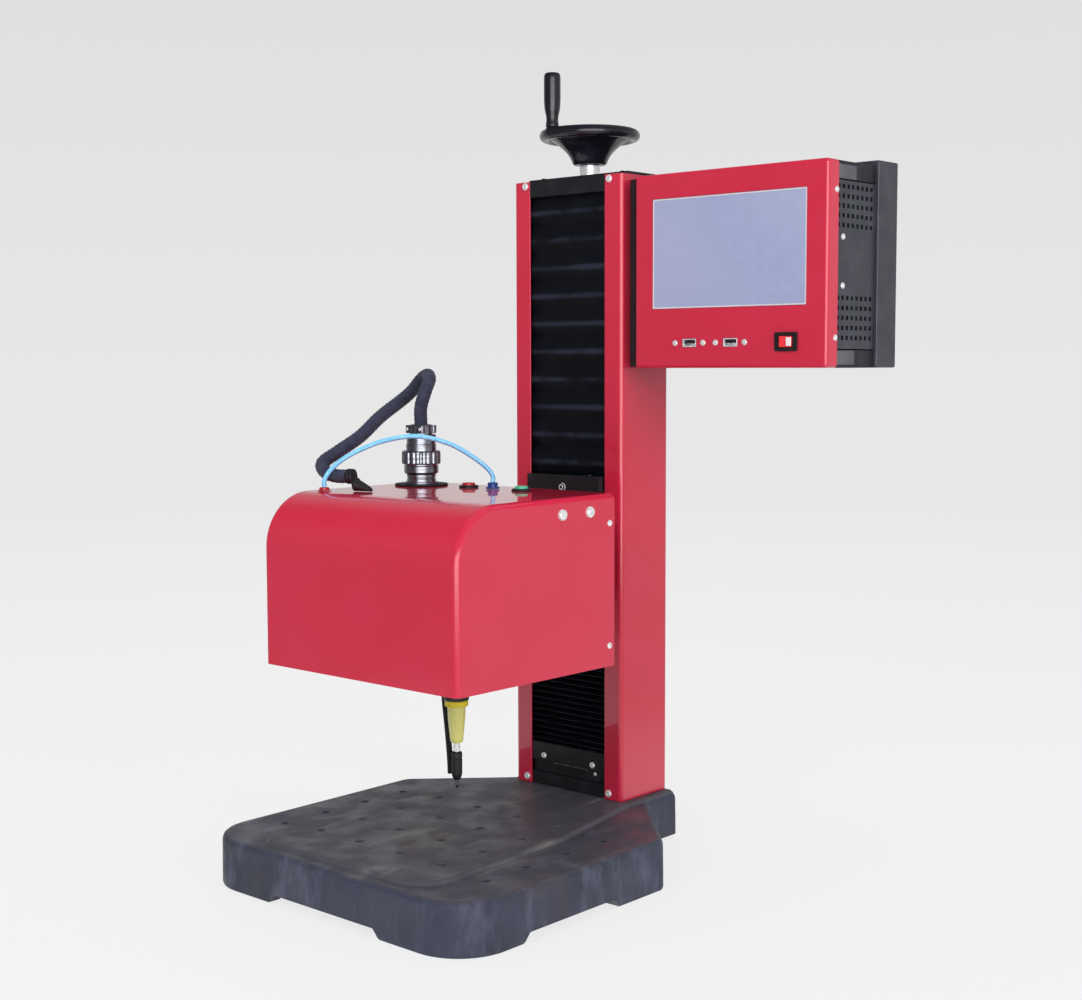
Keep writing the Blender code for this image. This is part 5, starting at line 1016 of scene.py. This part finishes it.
def connector():
    """Round multipole connector: gasket, receptacle, coupling nut and cable clamp."""
    (x, y), low, top = CONNECTOR, SEAT + 10.3, 334.5
    gasket = turned([(10.2, 0), (23.0, 0), (23.4, 0.5), (23.3, 1.2), (22.7, 1.6), (10.2, 1.6)],
                    CONNECTOR, 72, True, SEAT)
    piece("connector_gasket", gasket, "rubber", "head", ["connector_socket"])
    shell = turned([
        (0, 10), (12.2, 10), (12.8, 9.4), (12.8, 7.6), (12.2, 7.2), (12.2, 6.2), (12.8, 5.8),
        (12.8, 3.4), (14.6, 3.0), (14.6, 1.65), (9.9, 1.6), (9.9, -11.9), (0, -11.9)],
        CONNECTOR, 64, base=SEAT)
    piece("connector_receptacle", shell, "nickel", "head")
    sleeve = turned([(0, 8.4), (14.4, 8.4), (14.4, 7.2), (15.1, 6.4), (15.1, 1.2), (14.3, 0),
                     (0, 0)], CONNECTOR, 64, base=low)
    nut = fluted([
        (14.6, 8.0, 0), (16.0, 8.1, 0), (16.9, 9.0, 0.4), (17.0, 9.8, 1), (17.0, 18.2, 1),
        (16.9, 19.0, 0.4), (15.8, 19.9, 0), (14.0, 20.0, 0)], CONNECTOR, 20, 1.0, 0.35, base=low)
    barrel = turned([
        (0, 34.2), (12.4, 34.2), (13.1, 33.4), (13.2, 31.6), (12.7, 31.2), (12.7, 26),
        (13.2, 25.6), (13.2, 19.8), (0, 19.8)], CONNECTOR, 64, base=low)
    collar = turned([(6.2, top), (9.2, top), (9.8, top - 0.8), (9.8, low + 34), (6.2, low + 34)],
                    CONNECTOR, closed=True)
    piece("connector_plug_shell", merged(sleeve, nut, barrel, collar), "nickel", "head",
          ["connector_plug"], 30)
    bars = (low + 35.2, top - 0.6)
    clamp = [softened(box(about(x, 10.6), about(row, 2.2), bars, 1.4), 0.6)
             for row in about(y, 6.9)]
    piece("cable_clamp", merged(*clamp), "nickel", "head")
    screws("clamp_screws", "head", "Y", 1.6, 0.9,
           product(about(x, 8.2), [y - 9.1], [(low + 35.2 + top) / 2 - 0.3]))


def gland():
    """Moulded gland that lies on the hood: ribbed, and tapered down to it."""
    end, before = Vector(CABLE_ROUTE[-1]), Vector(CABLE_ROUTE[-2])
    along = Vector((end.x - before.x, end.y - before.y, 0)).normalized()
    across = Vector((-along.y, along.x, 0))
    # distance along, half width, half height
    profile = [
        (-0.7, 5.9, 5.9), (0, 6.5, 6.4), (1.4, 6.6, 6.5), (1.9, 6.1, 6.0), (2.8, 6.1, 6.0),
        (3.3, 6.6, 6.4), (4.7, 6.6, 6.3), (5.2, 6.1, 5.8), (6.1, 6.1, 5.7), (6.6, 6.5, 5.9),
        (8.6, 6.5, 5.5), (9.1, 6.0, 4.9), (12, 5.6, 4.2), (15, 5.0, 3.4), (18, 4.2, 2.5),
        (20.4, 3.2, 1.7), (21.8, 1.8, 0.9)]
    floor = SEAT + 0.02
    count, round_part = 32, 5.5
    rings = []
    for at, wide, tall in profile:
        middle = max(floor + tall, floor + 0.4) if at > round_part else end.z
        ring = []
        for k in range(count):
            angle = 2 * pi * k / count
            height = middle + tall * sin(angle)
            ring.append(tuple(end + along * (at + 0.9) + across * wide * cos(angle)
                              + Vector((0, 0, max(height, floor) - end.z))))
        rings.append(ring)
    piece("tapered_gland", lofted(rings), "rubber", "head", ["cable_gland"], 45)


def hood_top():
    """Fittings of the air tube and the two push buttons."""
    for name, at, top, finish, node in (
            ("air_port_collar", TUBE_ROUTE[0], 284.55, "red_plastic", "air_port"),
            ("air_fitting_collar", TUBE_ROUTE[-1], 286.85, "blue_plastic", "air_fitting")):
        rise = top - SEAT
        hexagon = softened(slab(circle(*at[:2], 6.0, 6), SEAT, SEAT + 0.32 * rise), 0.25)
        profile = [(2.1, 1), (3.7, 1), (4.4, 0.82), (4.5, 0.55), (4.0, 0.5), (4.0, 0.3),
                   (2.1, 0.3)]
        collar = turned([(r, part * rise) for r, part in profile], at[:2], 40, True, SEAT)
        piece(name, merged(hexagon, collar), finish, "head", [node], 40)
    for name, at, finish in BUTTONS:
        bezel = turned([
            (6.0, 1.8), (7.4, 1.75), (8.2, 1.3), (8.5, 0.5), (8.5, 0), (6.5, 0), (6.5, -16.3),
            (0, -16.3), (0, -2.4), (6.0, -2.4)], at, base=SEAT)
        piece(name + "_bezel", bezel, "black_plastic", "head", [name + "_housing"], 40)
        cap = turned([(0, 3.55), (3.6, 3.6), (4.6, 3.95), (5.2, 3.9), (5.55, 3.4), (5.6, 2.6),
                      (5.6, -0.6), (0, -0.6)], at, base=SEAT)
        piece(name + "_cap", cap, finish, name, [name], 40)


# Stylus

def stylus():
    """Moulded barrel and ring, shank, neck, pen and the return spring."""
    axis = (0, 0)
    barrel = fluted([
        (0.01, 101.6, 0), (7.7, 101.6, 0), (7.6, 98.4, 0), (7.55, 94, 1), (7.35, 90, 1),
        (7.0, 87, 1), (6.6, 83, 1), (6.1, 78, 1), (5.6, 72.6, 0), (5.3, 70.8, 0), (4.8, 70, 0),
        (0.01, 70, 0)], axis, 14, 0.25, 0.2)
    piece("stylus_body", barrel, "yellow_plastic", "x_stage", ["stylus_barrel"], 32)
    ring = fluted([
        (0.01, 106, 0), (9.5, 106, 0), (10, 105.4, 0), (10, 104.8, 1), (10, 102.2, 1),
        (10, 101.6, 0), (9.5, 101, 0), (0.01, 101, 0)], axis, 28, 0.4, 0.3, 4)
    piece("stylus_ring", ring, "yellow_ring", "x_stage", angle=32)
    shank = turned([(0, 195), (4.6, 195), (5.0, 194.5), (5.0, 109.4), (10.2, 109.4),
                    (10.6, 109), (10.6, 106.6), (10.2, 106.1), (0, 106.1)], axis)
    piece("stylus_shank", shank, "black_coat", "x_stage", angle=40)
    neck = turned([(0, 69.7), (2.3, 69.7), (2.6, 69.4), (2.6, 66.6), (3.1, 66.3), (3.1, 64.4),
                   (2.6, 64.1), (2.6, 62), (0, 62)], axis, 32)
    piece("stylus_neck", neck, "bright_steel", "x_stage", angle=40)
    pen = turned([
        (2.7, 62.0), (3.5, 62.0), (4.3, 61.4), (4.6, 60.4), (4.6, 57), (4.3, 56.7), (4.3, 56.1),
        (4.6, 55.8), (4.6, 43.5), (4.2, 41.4), (3.0, 38.4), (2.6, 38), (1.9, 38), (1.9, 40.5),
        (3.4, 40.5), (3.4, 59), (2.7, 59)], axis, 40, closed=True)
    piece("stylus_nose", pen, "black_plastic", "x_stage", ["stylus_pen"], 40)
    radius, low, rise, count = 2.2, 41.4, 7.6, 72
    angles = [radians(20 * k) for k in range(count + 1)]
    mesh, _ = tube([Vector((radius * cos(angle), radius * sin(angle),
                            low + rise * k / count)) for k, angle in enumerate(angles)], 0.4, 8)
    spring = coated("spring_coil", mesh, "steel")
    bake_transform(spring)
    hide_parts("return_spring")


# Controller

def controller():
    """Front pan with its display, sockets and switch, on its bracket; a black face in the gap by
    the column paints that gap's shade.
    """
    front, back = COLUMN_FRONT, COLUMN_FRONT + PANEL_LIP
    through = (front - 5, front + 5)
    block = softened(box(PANEL_X, PANEL_Z, (front, back + 5), 3.2, "Y"), 3.0, 6, 60)
    block = boolean(block, [box(grown(PANEL_X, 5), (back, back + 10), grown(PANEL_Z, 5))])
    tools = [box(grown(PANEL_X, -1.5), grown(PANEL_Z, -1.5), (front + 1.5, back + 20), axis="Y"),
             box(grown(SCREEN_X, 0.3), grown(SCREEN_Z, 0.3), through, 0.8, "Y"),
             box(about(ROCKER_X, 9.5), about(PORT_Z, 6.5), through, axis="Y")]
    tools += [box(about(x, 7.3), about(PORT_Z, 3.8), through, 0.8, "Y") for x in PORT_X]
    piece("panel_pan", boolean(block, tools), "red_paint", "frame", ["controller_front"], 30)
    # Black face across the gap between the column and the panel's left lip: painted shade in the
    # gap.
    gap_shade_sheet = softened(box((63.3, 76.9), (153, 157), (384, 544.8)), 0.4)
    piece("gap_shade_face", gap_shade_sheet, "black_coat", "frame")
    screws("port_screws", "frame", "Y", 2.5, 1.1,
           [(x, front, PORT_Z) for port in PORT_X for x in about(port, 14.4)])
    screws("panel_lip_screws", "frame", "X", 2.5, 1.4,
           product(PANEL_X[1:], [153.9], (406.7, 522.1)))
    face = (grown(SCREEN_X, -1.2), grown(SCREEN_Z, -1.2))
    glass = softened(box(*face, (142.5, 147.2), 0.5, "Y"), 0.3, 2, 50)
    piece("display_face", glass, "screen_glass", "frame", ["touch_screen"])
    opening = rounded(box_outline(*face[0], *face[1], 0.5))
    edge = softened(box(SCREEN_X, SCREEN_Z, (142.25, 146), 0.8, "Y", holes=[opening]), 0.2, 1, 50)
    piece("display_edge", edge, "pale_edge", "frame")
    tongues = [softened(box(about(x, 5.4), (PORT_Z - 0.2, PORT_Z + 1.9), (143.4, 152), axis="Y"),
                        0.2, 1) for x in PORT_X]
    piece("socket_tongues", merged(*tongues), "black_plastic", "frame")


def rocker():
    """Frame of the power switch, and its rocker with a pale insert, a painted highlight."""
    front = COLUMN_FRONT
    opening = rounded(box_outline(*about(ROCKER_X, 6.9), *about(PORT_Z, 4.9), 0.5))
    flange = box(about(ROCKER_X, 10.5), about(PORT_Z, 7.5), (front - 1.8, front - 0.3), 1.2, "Y",
                 holes=[opening])
    can = box(about(ROCKER_X, 9), about(PORT_Z, 6), (front - 1, front + 14), axis="Y",
              holes=[opening])
    floor = box(about(ROCKER_X, 8), about(PORT_Z, 5.5), (front + 5.8, front + 12), axis="Y")
    piece("switch_bezel", merged(softened(flange, 0.45, 3, 50), can, floor), "black_plastic",
          "frame", ["switch_frame"], 40)
    half = 6.2
    outline = rounded([(-half, 0, 0.3), (-half * 0.85, -2.6, 0.9), (0, -1.5, 6),
                       (half * 0.85, -2.6, 0.9), (half, 0, 0.3), (half * 0.55, 4, 0.3),
                       (-half * 0.55, 4, 0.3)], 5)
    cap = softened(slab(outline, -4.4, 4.4), 0.35, 2, 60)
    # Pale insert over the right half of the rocker: a painted highlight.
    lens = slab(rounded([(0.4, -1.75, 0.2), (half * 0.8, -2.75, 0.3), (half * 0.9, -1.6, 0.2),
                         (0.6, -0.9, 0.2)], 3), -3.4, 3.4)
    tilt = Matrix.Rotation(radians(9), 4, "Z")
    for mesh in (cap, lens):
        mesh.transform(Matrix.Translation((ROCKER_X, front - 0.6, PORT_Z)) @ tilt)
    piece("switch_rocker", cap, "lamp_red", "power_rocker", ["power_rocker"], 40)
    piece("switch_painted_highlight", lens, "pale_lens", "power_rocker", angle=40)


def perforated(x, y_span, z_span, holes_y, holes_z, size, sheet):
    """Sheet across X with a grid of square holes."""
    def lines(span, holes):
        edges = [edge for at in holes for edge in about(at, size / 2)]
        return [span[0], *edges, span[1]]

    across, up = lines(y_span, holes_y), lines(z_span, holes_z)
    work = bmesh.new()
    grid = [[work.verts.new((x, y, z)) for y in across] for z in up]
    for i in range(len(up) - 1):
        for j in range(len(across) - 1):
            if not (i % 2 and j % 2):
                work.faces.new((grid[i][j], grid[i][j + 1], grid[i + 1][j + 1], grid[i + 1][j]))
    extruded = bmesh.ops.extrude_face_region(work, geom=work.faces[:])["geom"]
    moved = [item for item in extruded if isinstance(item, bmesh.types.BMVert)]
    bmesh.ops.translate(work, vec=(sheet, 0, 0), verts=moved)
    return to_mesh("perforated", work)


def chassis():
    """Vented box behind the front pan, its spacers, and its black edge rails, which paint the
    shade above and below it.
    """
    (x0, x1), (_, y1), (z0, z1) = CHASSIS_X, CHASSIS_Y, CHASSIS_Z
    sheet = 1.2
    columns = [163.4 + 7 * k for k in range(8)]
    rows = [406.8 + 7.9 * k for k in range(5)] + [495.6 + 7.6 * k for k in range(5)]
    walls = [perforated(x, CHASSIS_Y, CHASSIS_Z, columns, rows, 3.5, sheet)
             for x in (x0, x1 - sheet)]
    walls += [softened(box(CHASSIS_X, CHASSIS_Y, (z, z + sheet)), 0.15, 1, 50)
              for z in (z0, z1 - sheet)]
    walls.append(box(grown(CHASSIS_X, -sheet), (y1 - sheet, y1), CHASSIS_Z))
    piece("vented_box", merged(*walls), "chassis_coat", "frame", ["controller_chassis"], 30)
    spacers = [softened(box((x, x + 20), (152, 189.5), (z, z + 11.5)), 0.6)
               for z in (385.4, 531.8) for x in (x0, x1 - 20)]
    piece("side_spacers", merged(*spacers), "spacer_coat", "frame")
    # Rails along the top and bottom of the box, in black darker than the box itself: painted shade
    # there.
    rails = [softened(box(CHASSIS_X, y, z), 0.4) for y, z in (
        ((157.5, 190), (383, 385.5)), ((157.5, 190), (543.3, 545.8)),
        ((188.8, 217.9), (383, 397)), ((188.8, 217.9), (531.8, 545.8)))]
    piece("edge_rails", merged(*rails), "black_coat", "frame")
    screws("box_screws", "frame", "X", 2.6, 1.5, product([x1], [169.3], (448, 486.5)))


def rear_pan():
    """Pan at the back of the controller, with two columns of slots."""
    front, back = REAR_PAN
    height = (PANEL_Z[0], REAR_PAN_TOP)
    pan = softened(box(PANEL_X, height, REAR_PAN, 1.6, "Y"), 1.8, 6, 60)
    hollow = box(grown(PANEL_X, -2.4), grown(REAR_PAN, -2.4), grown(height, -2.4))
    mouth = box(grown(CHASSIS_X, -14), (front - 5, front + 3), grown(CHASSIS_Z, -14))
    slots = [box((x, x + 42), (z, z + 3), (back - 5, back + 5), 1.45, "Y", 4)
             for z in range(430, 511, 9) for x in (116, 188)]
    pan = boolean(boolean(pan, [hollow, mouth]), slots)
    piece("rear_cover", pan, "chassis_coat", "frame", ["controller_rear"], 30)


camera()
finishes()
stage()
world()
lamps()
cords()
base()
column()
bellows("upper_bellows", 535.7, 288.3, 10, (0, 1, 3, 5, 7, 9, 10), 0.8, 4.4)
bellows("lower_bellows", 40.3, 149.7, 20, (0, 2, 6, 10, 14, 18, 20), 0.9, 7.5)
handwheel()
hood()
connector()
gland()
hood_top()
stylus()
controller()
rocker()
chassis()
rear_pan()
dress()
